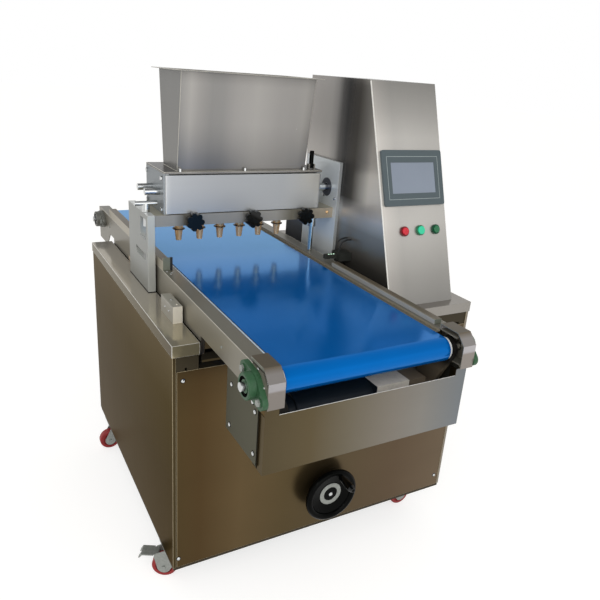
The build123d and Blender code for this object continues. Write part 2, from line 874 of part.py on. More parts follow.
# Lift frame: two cross beams and two long beams under the rails, guide bushes and the screw nut
half_beam = lift_beam / 2
lift_parts = []
for y in (lift_beam_front, lift_beam_rear):
    lift_parts.append(block(-rail_outer, rail_outer, y - half_beam, y + half_beam, beam_bottom, beam_top))
    for x in (-column_x, column_x):
        lift_parts.append(rod_z(bush_radius, x, y, bush_bottom, beam_bottom))
for x in (-handwheel_x, handwheel_x):
    x0 = x - half_beam
    x1 = x + half_beam
    lift_parts.append(block(x0, x1, lift_beam_front, lift_beam_rear, beam_bottom, beam_top))
lift_parts.append(rod_z(nut_radius, handwheel_x, screw_y, nut_bottom, beam_bottom))
lift_frame = lift_parts[0].fuse(*lift_parts[1:])
for y in (lift_beam_front, lift_beam_rear):
    for x in (-column_x, column_x):
        lift_frame -= rod_z(column_radius + running_clearance, x, y, bush_bottom, beam_bottom)
lift_frame -= rod_z(screw_radius + running_clearance, handwheel_x, screw_y, nut_bottom, nut_top)
lift_frame -= rod_z(nut_relief_radius, handwheel_x, screw_y, nut_top, beam_bottom)
keep(lift_frame, "lift_frame")

# Lift screw with its bevel gear below the support beam
gear_small = bevel_radius - bevel_face
cone_large = bevel_radius - free_clearance
cone_small = gear_small - free_clearance
lift_screw = rod_z(screw_radius, handwheel_x, screw_y, handwheel_z + gear_small, screw_top)
gear_mid_z = handwheel_z + bevel_radius - bevel_face / 2
lift_screw += Pos(handwheel_x, screw_y, gear_mid_z) * Cone(cone_small, cone_large, bevel_face)
collar_z = frame_beam_z + sheet + seat_clearance
lift_screw += rod_z(screw_collar_radius, handwheel_x, screw_y, collar_z, collar_z + bevel_face)
keep(lift_screw, "lift_screw")

# Handwheel with hub, dished web, round rim, handle pin and the shaft with the bevel pinion
hub_back = -seat_clearance
hub_front = hub_back - handwheel_hub
rim_y = -handwheel_face + handwheel_rim
rim_centre = handwheel_radius - handwheel_rim
profile = make_face(
    Polyline(
        (0, -hub_back),
        (handwheel_hub_radius, -hub_back),
        (handwheel_hub_radius, -hub_back + handwheel_web),
        (rim_centre, -rim_y - handwheel_web / 2),
        (rim_centre, -rim_y + handwheel_web / 2),
        (handwheel_hub_radius, -hub_front),
        (0, -hub_front),
        close=True,
    )
)
wheel_body = revolve(profile, Axis.Y)
wheel_body += Pos(0, -rim_y, 0) * Rot(90, 0, 0) * Torus(rim_centre, handwheel_rim)
handle_x = handle_reach * math.cos(math.radians(handle_angle))
handle_z = handle_reach * math.sin(math.radians(handle_angle))
handwheel = Pos(handwheel_x, 0, handwheel_z) * Rot(0, 0, 180) * wheel_body
pin_front = -handwheel_face - seat_clearance - handle_length
handwheel += rod_y(handle_pin_radius, handwheel_x + handle_x, pin_front, rim_y, handwheel_z + handle_z)
pinion_small_y = screw_y - gear_small
pinion_mid_y = screw_y - bevel_radius + bevel_face / 2
handwheel += rod_y(screw_radius, handwheel_x, hub_back, pinion_small_y, handwheel_z)
handwheel += (
    Pos(handwheel_x, pinion_mid_y, handwheel_z)
    * Rot(-90, 0, 0)
    * Cone(cone_large, cone_small, bevel_face)
)
keep(handwheel, "handwheel")

# Revolving handle on the pin of the handwheel
handle_back = -handwheel_face - seat_clearance
handle_profile = make_face(
    Polyline(
        (0, 0),
        (handle_neck_radius, 0),
        (handle_waist_radius, handle_waist),
        (handle_radius, handle_belly),
        (handle_shoulder_radius, handle_shoulder),
        (handle_tip_radius, handle_length),
        (0, handle_length),
        close=True,
    )
)
grip = revolve(handle_profile, Axis.Y)
grip -= rod_y(handle_pin_radius + running_clearance, 0, 0, handle_length, 0)
grip_place = Pos(handwheel_x + handle_x, handle_back, handwheel_z + handle_z)
keep(grip_place * Rot(0, 0, 180) * grip, "handwheel_handle")

# Left post: thick plate on the left deck with a window and a long slot
post_x0 = -left_post_inner - left_post_thick
post_x1 = -left_post_inner
left_post = block(post_x0, post_x1, left_post_front, left_post_rear, deck_top, left_post_top)
left_post -= block(post_x0, post_x1, window_front, window_rear, window_bottom, window_top)
slot_bottom = post_slot_z - post_slot_height / 2
slot_top = post_slot_z + post_slot_height / 2
left_post -= block(post_x0, post_x1, post_slot_front, post_slot_rear, slot_bottom, slot_top)
clamp_x = (post_x0 + post_x1) / 2
clamp_bore = clamp_stem_radius + running_clearance
left_post -= rod_z(clamp_bore, clamp_x, clamp_y, window_top, left_post_top)
keep(left_post, "left_post")

# Right post: plate against the console wall with the bearing hole of the drive shaft
right_post = block(right_post_x0, console_left, right_post_front, right_post_rear, deck_top, right_post_top)
feed_bore = feed_shaft_radius + running_clearance
right_post -= rod_x(feed_bore, right_post_x0, console_left, feed_front_y, feed_axis_z)
keep(right_post, "right_post")

# Nozzle bar between the posts with one dough bore for each nozzle and the stud holes of the knobs
nozzle_first = nozzle_row_centre - (nozzle_count - 1) * nozzle_pitch / 2
nozzle_x = [nozzle_first + i * nozzle_pitch for i in range(nozzle_count)]
nozzle_bar = block(-left_post_inner, right_post_x0, head_front, head_back, bar_bottom, bar_top)
for x in nozzle_x:
    nozzle_bar -= rod_z(bar_bore, x, feed_axis_y, bar_bottom, bar_top)
for x in knob_positions:
    nozzle_bar -= rod_y(knob_stud_radius + running_clearance, x, head_front, head_front + knob_stud, knob_z)
keep(nozzle_bar, "nozzle_bar")


def nozzle(x):
    cone_length = nozzle_length - nozzle_flange
    cone_mid = bar_bottom - nozzle_flange - cone_length / 2
    body = rod_z(nozzle_flange_radius, x, feed_axis_y, bar_bottom - nozzle_flange, bar_bottom)
    body += Pos(x, feed_axis_y, cone_mid) * Cone(nozzle_tip_radius, nozzle_top_radius, cone_length)
    tip_bore = nozzle_tip_radius - nozzle_wall
    bore = Pos(x, feed_axis_y, bar_bottom - nozzle_length / 2) * Cone(tip_bore, bar_bore, nozzle_length)
    return body - bore


keep(Compound(children=[nozzle(x) for x in nozzle_x]), "nozzles")

# End plates of the head with the bores of the two feed shafts
end_plates = []
for x0 in (end_plate_left, end_plate_right - end_plate):
    plate = block(x0, x0 + end_plate, head_front + cover_plate, head_back, bar_top, head_top)
    for y in (feed_front_y, feed_rear_y):
        plate -= rod_x(feed_bore, x0, x0 + end_plate, y, feed_axis_z)
    end_plates.append(plate)
keep(Compound(children=end_plates), "head_end_plates")

# Front cover and back plate of the head
cover_plate_bottom = bar_top + cover_plate_gap
head_cover = block(
    end_plate_left + cover_plate_inset,
    end_plate_right - cover_plate_inset,
    head_front,
    head_front + cover_plate,
    cover_plate_bottom,
    cover_plate_bottom + cover_plate_height,
)
head_cover = fillet(head_cover.edges().filter_by(Axis.Z).group_by(Axis.Y)[0], cover_plate_round)
keep(head_cover, "head_front_cover")
keep(
    block(
        end_plate_left + end_plate,
        end_plate_right - end_plate,
        head_back - back_plate,
        head_back,
        bar_top,
        head_top,
    ),
    "head_back_plate",
)


def gear_face(phase):
    pitch_radius = feed_spacing / 2
    root_radius = pitch_radius - gear_dedendum
    tip_radius = pitch_radius + gear_addendum
    root = (gear_root_half - gear_backlash / 2) / pitch_radius
    tip = (gear_tip_half - gear_backlash / 2) / pitch_radius
    points = []
    for i in range(gear_teeth):
        middle = 2 * math.pi * i / gear_teeth + phase
        flank = ((-root, root_radius), (-tip, tip_radius), (tip, tip_radius), (root, root_radius))
        for turn, radius in flank:
            points.append((radius * math.cos(middle + turn), radius * math.sin(middle + turn)))
    return make_face(Polyline(*points, close=True))


# Feed rollers: fluted bodies, shafts, and meshing gears beside the right end plate
feed_x0 = end_plate_left + end_plate + feed_end_gap
gear_x1 = end_plate_right - end_plate - feed_end_gap
gear_x0 = gear_x1 - gear_width
feed_x1 = gear_x0


def feed_roller(y, shaft_end, phase):
    axis = Pos(0, y, feed_axis_z)
    fluted = Circle(feed_radius)
    flute = Circle(flute_radius)
    for i in range(flute_count):
        angle = math.radians(360 / flute_count * (i + 0.5))
        fluted -= Pos(feed_radius * math.cos(angle), feed_radius * math.sin(angle)) * flute
    roller = axis * extrude(Plane.YZ.offset(feed_x0) * fluted, feed_x1 - feed_x0)
    roller += axis * extrude(Plane.YZ.offset(gear_x0) * gear_face(phase), gear_width)
    return roller + rod_x(feed_shaft_radius, end_plate_left - shaft_stub, shaft_end, y, feed_axis_z)


drive_end = console_left + right_post_thick
keep(feed_roller(feed_front_y, drive_end, 0), "front_feed_roller")
keep(feed_roller(feed_rear_y, end_plate_right + right_post_thick, math.pi / gear_teeth), "rear_feed_roller")

# Hopper: base flange, vertical side walls, sloping front and back walls and a turned-out rim
hopper_outer = loft(
    [
        Plane.XY.offset(base_top)
        * Pos(0, hopper_centre_y)
        * Rectangle(hopper_half_x * 2, hopper_bottom_half_y * 2),
        Plane.XY.offset(hopper_top)
        * Pos(0, hopper_centre_y)
        * Rectangle(hopper_half_x * 2, hopper_top_half_y * 2),
    ]
)
inner_half_x = hopper_half_x - hopper_sheet
hopper_inner = loft(
    [
        Plane.XY.offset(base_top)
        * Pos(0, hopper_centre_y)
        * Rectangle(inner_half_x * 2, (hopper_bottom_half_y - hopper_sheet) * 2),
        Plane.XY.offset(hopper_top)
        * Pos(0, hopper_centre_y)
        * Rectangle(inner_half_x * 2, (hopper_top_half_y - hopper_sheet) * 2),
    ]
)
rim_half_x = hopper_half_x + hopper_rim
rim_half_y = hopper_top_half_y + hopper_rim
hopper = hopper_outer
hopper += block(
    -rim_half_x,
    rim_half_x,
    hopper_centre_y - rim_half_y,
    hopper_centre_y + rim_half_y,
    hopper_top - hopper_sheet,
    hopper_top,
)
hopper += block(end_plate_left, end_plate_right, head_front, head_back, head_top, base_top)
hopper -= hopper_inner
throat_half_y = hopper_bottom_half_y - hopper_sheet
hopper -= block(
    -inner_half_x,
    inner_half_x,
    hopper_centre_y - throat_half_y,
    hopper_centre_y + throat_half_y,
    head_top,
    base_top,
)
for side in (-1, 1):
    ear_x0 = lever_x + side * (lever_radius + seat_clearance)
    ear_x1 = ear_x0 + side * lever_ear
    hopper += block(
        min(ear_x0, ear_x1),
        max(ear_x0, ear_x1),
        lever_y - lever_radius,
        lever_y + lever_radius,
        base_top,
        base_top + lever_axis_height + lever_radius,
    )
lever_span = lever_radius + seat_clearance + lever_ear
lever_axis_z = base_top + lever_axis_height
lever_x0 = lever_x - lever_span
lever_x1 = lever_x + lever_span
hopper += rod_x(lever_pin_radius, lever_x0, lever_x1, lever_y, lever_axis_z)
keep(hopper, "hopper")

# Thumb screws along the front edge of the hopper base
thumbs = []
for x in (-thumb_spacing, 0, thumb_spacing):
    y = head_front + thumb_radius
    screw = rod_z(thumb_radius, x, y, base_top, base_top + thumb_height)
    thumbs.append(chamfer(screw.edges().group_by(Axis.Z)[-1], thumb_chamfer))
keep(Compound(children=thumbs), "hopper_thumb_screws")

# Black clamp lever on the hopper base
lever = rod_z(lever_radius, lever_x, lever_y, lever_axis_z, lever_axis_z + lever_length)
lever = fillet(lever.edges().group_by(Axis.Z)[-1], lever_round)
lever += rod_x(lever_radius, lever_x - lever_radius, lever_x + lever_radius, lever_y, lever_axis_z)
lever -= rod_x(lever_pin_radius + running_clearance, lever_x0, lever_x1, lever_y, lever_axis_z)
keep(lever, "hopper_lever")


def star_knob(x):
    front = Plane(origin=(x, head_front, knob_z), x_dir=(1, 0, 0), z_dir=(0, -1, 0))
    ring = knob_radius - knob_lobe_radius
    outline = Circle(ring)
    for i in range(knob_lobes):
        angle = 2 * math.pi * i / knob_lobes
        outline += Pos(ring * math.cos(angle), ring * math.sin(angle)) * Circle(knob_lobe_radius)
    head = extrude(front.offset(knob_neck) * outline, knob_thick)
    knob = head + extrude(front * Circle(knob_neck_radius), knob_neck)
    return knob + extrude(front * Circle(knob_stud_radius), -knob_stud + seat_clearance)


for name, x in zip(("left", "middle", "right"), knob_positions):
    keep(star_knob(x), f"star_knob_{name}")

# T-handle clamp screw in the top of the left post
clamp_screw = rod_z(clamp_stem_radius, clamp_x, clamp_y, clamp_bottom, clamp_bar_z)
clamp_half = clamp_bar / 2
clamp_screw += rod_x(clamp_bar_radius, clamp_x - clamp_half, clamp_x + clamp_half, clamp_y, clamp_bar_z)
clamp_screw += rod_z(clamp_collar_radius, clamp_x, clamp_y, left_post_top + seat_clearance, clamp_bar_z)
keep(clamp_screw, "clamp_screw")

# Stop rod under the right end of the nozzle bar, just above the right rail
stop_x = (rail_inner + rail_outer) / 2
stop_rod = rod_z(stop_collar_radius, stop_x, stop_y, bar_bottom - stop_collar, bar_bottom)
stop_rod += rod_z(stop_rod_radius, stop_x, stop_y, rail_top + stop_gap, bar_bottom - stop_collar)
keep(stop_rod, "stop_rod")

# Console: hollow sloping housing
console_side = [
    (console_front, deck_top),
    (console_front_top, console_top),
    (console_back, console_top),
    (console_back, deck_top),
]
slope_wall = sheet / math.cos(slope)
slope_step = sheet * math.tan(slope)
inner_side = [
    (console_front + slope_wall + slope_step, deck_top + sheet),
    (console_front_top + slope_wall - slope_step, console_top - sheet),
    (console_back - sheet, console_top - sheet),
    (console_back - sheet, deck_top + sheet),
]
console = prism_x(console_side, console_left, console_right)
console -= prism_x(inner_side, console_left + sheet, console_right - sheet)
wall_inside = console_left + sheet
console -= rod_x(feed_shaft_radius + free_clearance, console_left, wall_inside, feed_front_y, feed_axis_z)
console_mid = (console_left + console_right) / 2


def on_slope(x, along):
    y = console_front + along * math.sin(slope)
    z = deck_top + along * math.cos(slope)
    return Plane(origin=(x, y, z), x_dir=(1, 0, 0), z_dir=(0, -math.cos(slope), math.sin(slope)))


button_x = [console_mid + button_shift + i * button_spacing for i in (-1, 0, 1)]
for x in button_x:
    console -= extrude(on_slope(x, button_slope_z) * Circle(button_radius + free_clearance), -button_stem)
keep(console, "console")

# Screen unit on the slope: bezel and display
hmi_plane = on_slope(console_mid + hmi_shift, hmi_slope_z)
bezel_outline = RectangleRounded(hmi_width, hmi_height, hmi_corner)
hmi_bezel = extrude(hmi_plane * bezel_outline, hmi_proud)
screen_face = hmi_plane.offset(hmi_proud - screen_rise) * Rectangle(screen_width, screen_height)
hmi_bezel -= extrude(screen_face, screen_rise)
keep(hmi_bezel, "hmi_bezel")
keep(extrude(screen_face, screen_rise / 2), "hmi_screen")

# Collars, lamp and push-buttons in a row under the screen
collars = []
for x in button_x:
    ring = Circle(collar_radius) - Circle(button_radius + free_clearance)
    collars.append(extrude(on_slope(x, button_slope_z) * ring, collar_height))
keep(Compound(children=collars), "button_collars")


def push_button(x):
    plane = on_slope(x, button_slope_z)
    cap_length = button_stem + collar_height + button_proud
    cap = extrude(plane.offset(-button_stem) * Circle(button_radius), cap_length)
    return fillet(cap.edges().sort_by(Axis.Y)[0], button_round)


keep(push_button(button_x[0]), "red_button")
keep(push_button(button_x[2]), "green_button")
lamp_plane = on_slope(button_x[1], button_slope_z)
lamp = extrude(lamp_plane * Circle(button_radius + free_clearance), collar_height)
lamp += extrude(lamp_plane.offset(collar_height) * Circle(lamp_radius), button_proud)
keep(lamp, "lamp_lens")

# Drilled accessory block on the left deck
block_x0 = -left_post_inner - block_width
block_top = deck_top + block_height
accessory_block = block(block_x0, -left_post_inner, block_front, block_rear, deck_top, block_top)
block_mid_z = deck_top + block_height / 2
block_mid_y = (block_front + block_rear) / 2
for side in (-1, 1):
    y = block_mid_y + side * block_hole_spacing / 2
    accessory_block -= rod_x(block_hole_radius, block_x0, block_x0 + block_hole_depth, y, block_mid_z)
accessory_block -= rod_z(
    block_hole_radius,
    block_x0 + block_top_hole,
    block_front + block_top_hole,
    block_top - block_hole_depth,
    block_top,
)
keep(accessory_block, "accessory_block")

# Tray sensor on the console wall with its arm over the right rail
sensor_rear = sensor_front + sensor_depth
sensor_bottom = rail_top - sensor_sink
sensor_top = sensor_bottom + sensor_height
sensor = block(sensor_left, console_left, sensor_front, sensor_rear, sensor_bottom, sensor_top)
arm_y = (sensor_front + sensor_rear) / 2
arm_bottom = rail_top + sensor_arm_gap
arm_half = sensor_arm / 2
sensor += block(
    sensor_arm_left, sensor_left, arm_y - arm_half, arm_y + arm_half, arm_bottom, arm_bottom + sensor_arm
)
keep(sensor, "sensor_unit")


def sensor_cable(y):
    x = sensor_left + cable_inset
    half_turn = cable_run * math.sqrt(0.5)
    route = [
        (x, y, sensor_top),
        (x, y, sensor_top + cable_run),
        (x + half_turn, y, sensor_top + cable_run + half_turn),
        (console_left, y, sensor_top + cable_run + half_turn),
    ]
    runs = [math.dist(p, q) for p, q in zip(route, route[1:])]
    bend = 0.45 / math.tan(math.radians(45 / 2))
    radii = [bend * min(runs[i], runs[i + 1]) for i in range(len(runs) - 1)]
    print("cable bend radii", [round(r, 1) for r in radii])
    path = FilletPolyline(*route, radius=radii)
    section = Plane(origin=route[0], z_dir=(0, 0, 1)) * Circle(cable_radius)
    return sweep(section, path=path)


# Two short cables from the sensor into the console wall
for name, side in (("front", -1), ("rear", 1)):
    keep(sensor_cable(arm_y + side * cable_spacing / 2), f"sensor_cable_{name}")

# Move every piece once: the origin is the middle of the whole outline, on the floor
boxes = [solid.bounding_box() for solids in pieces.values() for solid in solids]
middle_x = (min(box.min.X for box in boxes) + max(box.max.X for box in boxes)) / 2
middle_y = (min(box.min.Y for box in boxes) + max(box.max.Y for box in boxes)) / 2
to_origin = Location((-middle_x, -middle_y, 0))
print("origin shift", round(-middle_x, 3), round(-middle_y, 3))
os.makedirs("parts", exist_ok=True)
for name, solids in pieces.items():
    placed = [to_origin * solid for solid in solids]
    export_step(placed[0] if len(placed) == 1 else Compound(children=placed), f"parts/{name}.step")
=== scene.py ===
import math

import bmesh
import bpy
from mathutils import Matrix, Vector


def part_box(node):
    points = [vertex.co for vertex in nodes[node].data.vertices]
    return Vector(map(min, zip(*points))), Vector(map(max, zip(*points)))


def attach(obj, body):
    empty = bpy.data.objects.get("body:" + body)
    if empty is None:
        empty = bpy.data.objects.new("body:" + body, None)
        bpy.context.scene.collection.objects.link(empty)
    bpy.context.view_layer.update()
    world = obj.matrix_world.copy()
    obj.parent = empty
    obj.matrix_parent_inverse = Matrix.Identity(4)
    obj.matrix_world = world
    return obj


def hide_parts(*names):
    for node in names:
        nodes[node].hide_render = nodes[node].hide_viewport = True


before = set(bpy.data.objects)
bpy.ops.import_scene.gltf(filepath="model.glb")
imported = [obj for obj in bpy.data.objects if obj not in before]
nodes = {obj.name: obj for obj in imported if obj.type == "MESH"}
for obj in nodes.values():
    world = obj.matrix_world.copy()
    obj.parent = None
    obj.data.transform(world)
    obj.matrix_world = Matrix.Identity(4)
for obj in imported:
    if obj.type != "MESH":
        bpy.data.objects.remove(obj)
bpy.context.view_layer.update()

# The model's own frame: X = 0 on the belt's centre line and Y = 0 on the cabinet front, in millimetres
belt_low, belt_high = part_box("belt")
centre_x = (belt_low.x + belt_high.x) / 2
front_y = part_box("front_panel")[0].y


def place(x, y, z):
    return Vector((centre_x + x / 1000, front_y + y / 1000, z / 1000))


# Material helpers
def tone(red, green, blue):
    display = [value / 255 for value in (red, green, blue)]
    return tuple(((value + 0.055) / 1.055) ** 2.4 for value in display)


def grey(value):
    return (value, value, value)


def new_material(name):
    material = bpy.data.materials.new(name)
    material.use_nodes = True
    tree = material.node_tree
    return material, tree, tree.nodes["Principled BSDF"]


def ramp(tree, source, stops, steps=False):
    node = tree.nodes.new("ShaderNodeValToRGB")
    node.color_ramp.interpolation = "CONSTANT" if steps else "LINEAR"
    while len(node.color_ramp.elements) < len(stops):
        node.color_ramp.elements.new(0.5)
    while len(node.color_ramp.elements) > len(stops):
        node.color_ramp.elements.remove(node.color_ramp.elements[-1])
    for element, (position, value) in zip(node.color_ramp.elements, stops):
        element.position = position
        element.color = (*value, 1.0)
    tree.links.new(source, node.inputs["Fac"])
    return node.outputs["Color"]


def noise(tree, scale, stretch, detail=3.0):
    coords = tree.nodes.new("ShaderNodeTexCoord")
    mapping = tree.nodes.new("ShaderNodeMapping")
    mapping.inputs["Scale"].default_value = stretch
    texture = tree.nodes.new("ShaderNodeTexNoise")
    texture.inputs["Scale"].default_value = scale
    texture.inputs["Detail"].default_value = detail
    tree.links.new(coords.outputs["Object"], mapping.inputs["Vector"])
    tree.links.new(mapping.outputs["Vector"], texture.inputs["Vector"])
    return texture.outputs["Fac"]


def along(tree, axis, start, end):
    coords = tree.nodes.new("ShaderNodeTexCoord")
    split = tree.nodes.new("ShaderNodeSeparateXYZ")
    span = tree.nodes.new("ShaderNodeMapRange")
    span.inputs["From Min"].default_value = start
    span.inputs["From Max"].default_value = end
    tree.links.new(coords.outputs["Object"], split.inputs["Vector"])
    tree.links.new(split.outputs[axis], span.inputs["Value"])
    return span.outputs["Result"]


def gradient(tree, axis, stops, steps=False):
    first = stops[0][0]
    last = stops[-1][0]
    zero = getattr(place(0, 0, 0), axis.lower())
    source = along(tree, axis, zero + first / 1000, zero + last / 1000)
    shares = [((spot - first) / (last - first), value) for spot, value in stops]
    return ramp(tree, source, shares, steps)


def feed(tree, value, socket):
    if isinstance(value, tuple):
        socket.default_value = (*value, 1.0)
    else:
        tree.links.new(value, socket)


def multiply(tree, first, second):
    node = tree.nodes.new("ShaderNodeMix")
    node.data_type = "RGBA"
    node.blend_type = "MULTIPLY"
    node.inputs["Factor"].default_value = 1.0
    feed(tree, first, node.inputs["A"])
    feed(tree, second, node.inputs["B"])
    return node.outputs["Result"]


# A face counts as turned to a side from the first share of its normal on, and wholly from the second
FACING_SHARES = (0.55, 0.85)


# Lit and shaded copies of one material: faces turned to one side take their own tone, as painted light
# and shade
def facing(tree, axis, side, inner, outer):
    geometry = tree.nodes.new("ShaderNodeNewGeometry")
    split = tree.nodes.new("ShaderNodeSeparateXYZ")
    span = tree.nodes.new("ShaderNodeMapRange")
    span.inputs["From Min"].default_value = FACING_SHARES[0] * side
    span.inputs["From Max"].default_value = FACING_SHARES[1] * side
    blend = tree.nodes.new("ShaderNodeMix")
    blend.data_type = "RGBA"
    tree.links.new(geometry.outputs["Normal"], split.inputs["Vector"])
    tree.links.new(split.outputs[axis], span.inputs["Value"])
    tree.links.new(span.outputs["Result"], blend.inputs["Factor"])
    feed(tree, inner, blend.inputs["A"])
    feed(tree, outer, blend.inputs["B"])
    return blend.outputs["Result"]


# Heights between which a sheet's low side tones, painted shade near the deck, give way to its upper ones
LOW_SIDE_MM = (1040, 1090)
# Stretch of the brushed lines, and of the slow clouds of painted reflection, along a sheet's grain
GRAIN = {"X": (1, 40, 40), "Y": (40, 1, 40), "Z": (40, 40, 1)}
DRIFT = {"X": (0.5, 1.6, 1.6), "Y": (1.6, 0.5, 1.6), "Z": (1.6, 1.6, 0.5)}


def tones(tree, spec):
    if isinstance(spec, tuple):
        return spec
    parts = [gradient(tree, axis, stops) for axis, stops in spec]
    result = parts[0]
    for part in parts[1:]:
        result = multiply(tree, result, part)
    return result


def blended(tree, axis, start, end, lower, upper):
    zero = getattr(place(0, 0, 0), axis.lower())
    blend = tree.nodes.new("ShaderNodeMix")
    blend.data_type = "RGBA"
    tree.links.new(along(tree, axis, zero + start / 1000, zero + end / 1000), blend.inputs["Factor"])
    feed(tree, tones(tree, lower), blend.inputs["A"])
    feed(tree, tones(tree, upper), blend.inputs["B"])
    return blend.outputs["Result"]


STREAK_DEPTH = 0.015
POLISH_SPREAD = 0.015


def steel(
    name,
    front,
    side=None,
    top=None,
    grain="X",
    rough=0.3,
    metal=0.6,
    cloud=0.08,
    edge=(0.5, 0.5, 0.5),
    back=None,
    low_side=None,
):
    material, tree, shader = new_material(name)
    lines = noise(tree, 6.0, GRAIN[grain], 4.0)
    base = tones(tree, front)
    # Side, top, back and low side tones are lit and shaded copies of the front tone: painted light and
    # shade
    if low_side:
        base = facing(tree, "X", -1, base, blended(tree, "Z", *LOW_SIDE_MM, low_side, side))
    elif side:
        base = facing(tree, "X", -1, base, tones(tree, side))
    if top:
        base = facing(tree, "Z", 1, base, tones(tree, top))
    if back:
        base = facing(tree, "Y", 1, base, tones(tree, back))
    # Slow clouds that darken the base in patches: painted blotchy reflections
    clouds = noise(tree, 3.2, DRIFT[grain], 3.0)
    shade = ramp(tree, clouds, [(0.32, grey(1 - cloud)), (0.68, grey(1.0))])
    streak = ramp(tree, lines, [(0.3, grey(1 - STREAK_DEPTH)), (0.7, grey(1.0))])
    tree.links.new(multiply(tree, multiply(tree, base, shade), streak), shader.inputs["Base Color"])
    polish = ramp(tree, lines, [(0.2, grey(rough - POLISH_SPREAD)), (0.8, grey(rough + POLISH_SPREAD))])
    tree.links.new(polish, shader.inputs["Roughness"])
    shader.inputs["Metallic"].default_value = metal
    shader.inputs["Specular Tint"].default_value = (*edge, 1.0)
    return material


def plain(
    name,
    colour,
    rough=0.4,
    metal=0.0,
    speckle=0.06,
    scale=60.0,
    gloss=0.5,
    edge=(1, 1, 1),
    painted_light=None,
):
    material, tree, shader = new_material(name)
    grain = noise(tree, scale, (1, 1, 1))
    low = tuple(c * (1 - speckle) for c in colour)
    high = tuple(min(1.0, c * (1 + speckle)) for c in colour)
    base = ramp(tree, grain, [(0.35, low), (0.65, high)])
    # An optional gradient of painted light and shade multiplies the base colour
    if painted_light:
        base = multiply(tree, base, tones(tree, painted_light))
    tree.links.new(base, shader.inputs["Base Color"])
    worn = ramp(tree, grain, [(0.3, grey(rough)), (0.8, grey(min(1.0, rough * 1.3)))])
    tree.links.new(worn, shader.inputs["Roughness"])
    shader.inputs["Metallic"].default_value = metal
    shader.inputs["Specular IOR Level"].default_value = gloss
    shader.inputs["Specular Tint"].default_value = (*edge, 1.0)
    return material


def banded(name, axis, bands, rough=0.35, gloss=0.3):
    material, tree, shader = new_material(name)
    grain = noise(tree, 80.0, (1, 1, 1))
    wear = ramp(tree, grain, [(0.3, grey(0.88)), (0.7, grey(1.0))])
    colours = gradient(tree, axis, [(spot, colour) for spot, colour, metal in bands], True)
    metals = gradient(tree, axis, [(spot, grey(metal)) for spot, colour, metal in bands], True)
    tree.links.new(multiply(tree, colours, wear), shader.inputs["Base Color"])
    tree.links.new(metals, shader.inputs["Metallic"])
    shader.inputs["Specular IOR Level"].default_value = gloss
    polish = ramp(tree, grain, [(0.3, grey(rough)), (0.8, grey(rough + 0.12))])
    tree.links.new(polish, shader.inputs["Roughness"])
    return material


def glowing(name, colour, glow, strength):
    material, tree, shader = new_material(name)
    grain = noise(tree, 300.0, (1, 1, 1))
    low = tuple(c * 0.92 for c in colour)
    tree.links.new(ramp(tree, grain, [(0.3, low), (0.7, colour)]), shader.inputs["Base Color"])
    shader.inputs["Emission Color"].default_value = (*glow, 1.0)
    shader.inputs["Emission Strength"].default_value = strength
    shader.inputs["Roughness"].default_value = 0.25
    return material


# Sheet and plate metals; their tone changes and their side, top and back tones are painted reflection,
# highlight and shade
# Front panel: tones across its width are painted reflection, lighter towards the right; darker towards
# the top as painted reflection of the dark parts above
panel_tones = [
    (-335, tone(78, 63, 37)),
    (-270, tone(80, 62, 36)),
    (-150, tone(97, 80, 53)),
    (0, tone(88, 74, 48)),
    (200, tone(90, 77, 56)),
    (400, tone(96, 80, 62)),
    (606, tone(109, 94, 76)),
]
panel_top_painted_reflection = [(128, grey(1.0)), (600, grey(1.0)), (700, grey(0.86)), (742, grey(0.7))]
panel_steel = steel("panel_steel", [("X", panel_tones), ("Z", panel_top_painted_reflection)], metal=0.8)
# Cabinet: the side tones, lighter towards the top, are painted reflection; the front tones, dark brown
# and lighter at the right end, are painted shade; the back takes its own tone, painted light
side_tones = [
    (128, tone(84, 74, 50)),
    (400, tone(82, 75, 56)),
    (640, tone(92, 85, 66)),
    (815, tone(120, 112, 94)),
]
fascia_tones = [
    (-346, tone(70, 60, 40)),
    (480, tone(84, 73, 54)),
    (560, tone(135, 128, 118)),
    (617, tone(140, 133, 124)),
]
cradle_edge = (0.22, 0.21, 0.16)
side_edge = (0.39, 0.35, 0.31)
cabinet_steel = steel(
    "cabinet_steel",
    [("X", fascia_tones)],
    [("Z", side_tones)],
    grain="Z",
    metal=0.95,
    edge=side_edge,
    back=tone(104, 95, 78),
)
# Front guard: brown at the left turning blue-grey at the right, painted reflection; its side takes its
# own tone, painted light
guard_tones = [
    (-268, tone(80, 70, 50)),
    (-155, tone(91, 80, 58)),
    (-55, tone(108, 101, 86)),
    (60, tone(125, 119, 110)),
    (145, tone(131, 128, 122)),
    (268, tone(119, 124, 128)),
]
guard_steel = steel("guard_steel", [("X", guard_tones)], tone(90, 77, 52), metal=0.8)
# Drive cradle: separate front and side tones, a lit and a shaded copy of one steel (painted light)
cradle_steel = steel(
    "cradle_steel",
    tone(100, 94, 78),
    tone(103, 102, 92),
    grain="Y",
    metal=0.7,
    edge=cradle_edge,
)
# Left deck: its top, lip and front take separate tones, lighter towards the rear: painted light and
# reflection
deck_tones = [(-2, tone(182, 175, 152)), (300, tone(205, 199, 186)), (952, tone(208, 204, 197))]
lip_tones = [(-2, tone(95, 86, 68)), (300, tone(110, 103, 88)), (952, tone(138, 133, 123))]
deck_steel = steel(
    "deck_steel",
    tone(156, 147, 120),
    [("Y", lip_tones)],
    [("Y", deck_tones)],
    grain="Y",
    rough=0.1,
    metal=0.6,
    cloud=0.06,
    edge=(0.36, 0.33, 0.26),
)
# Right deck: separate front, side and top tones, lit and shaded copies of one steel (painted light)
right_deck_steel = steel(
    "right_deck_steel",
    tone(152, 148, 142),
    tone(150, 146, 140),
    tone(166, 161, 154),
    grain="Y",
    rough=0.2,
    metal=0.55,
)
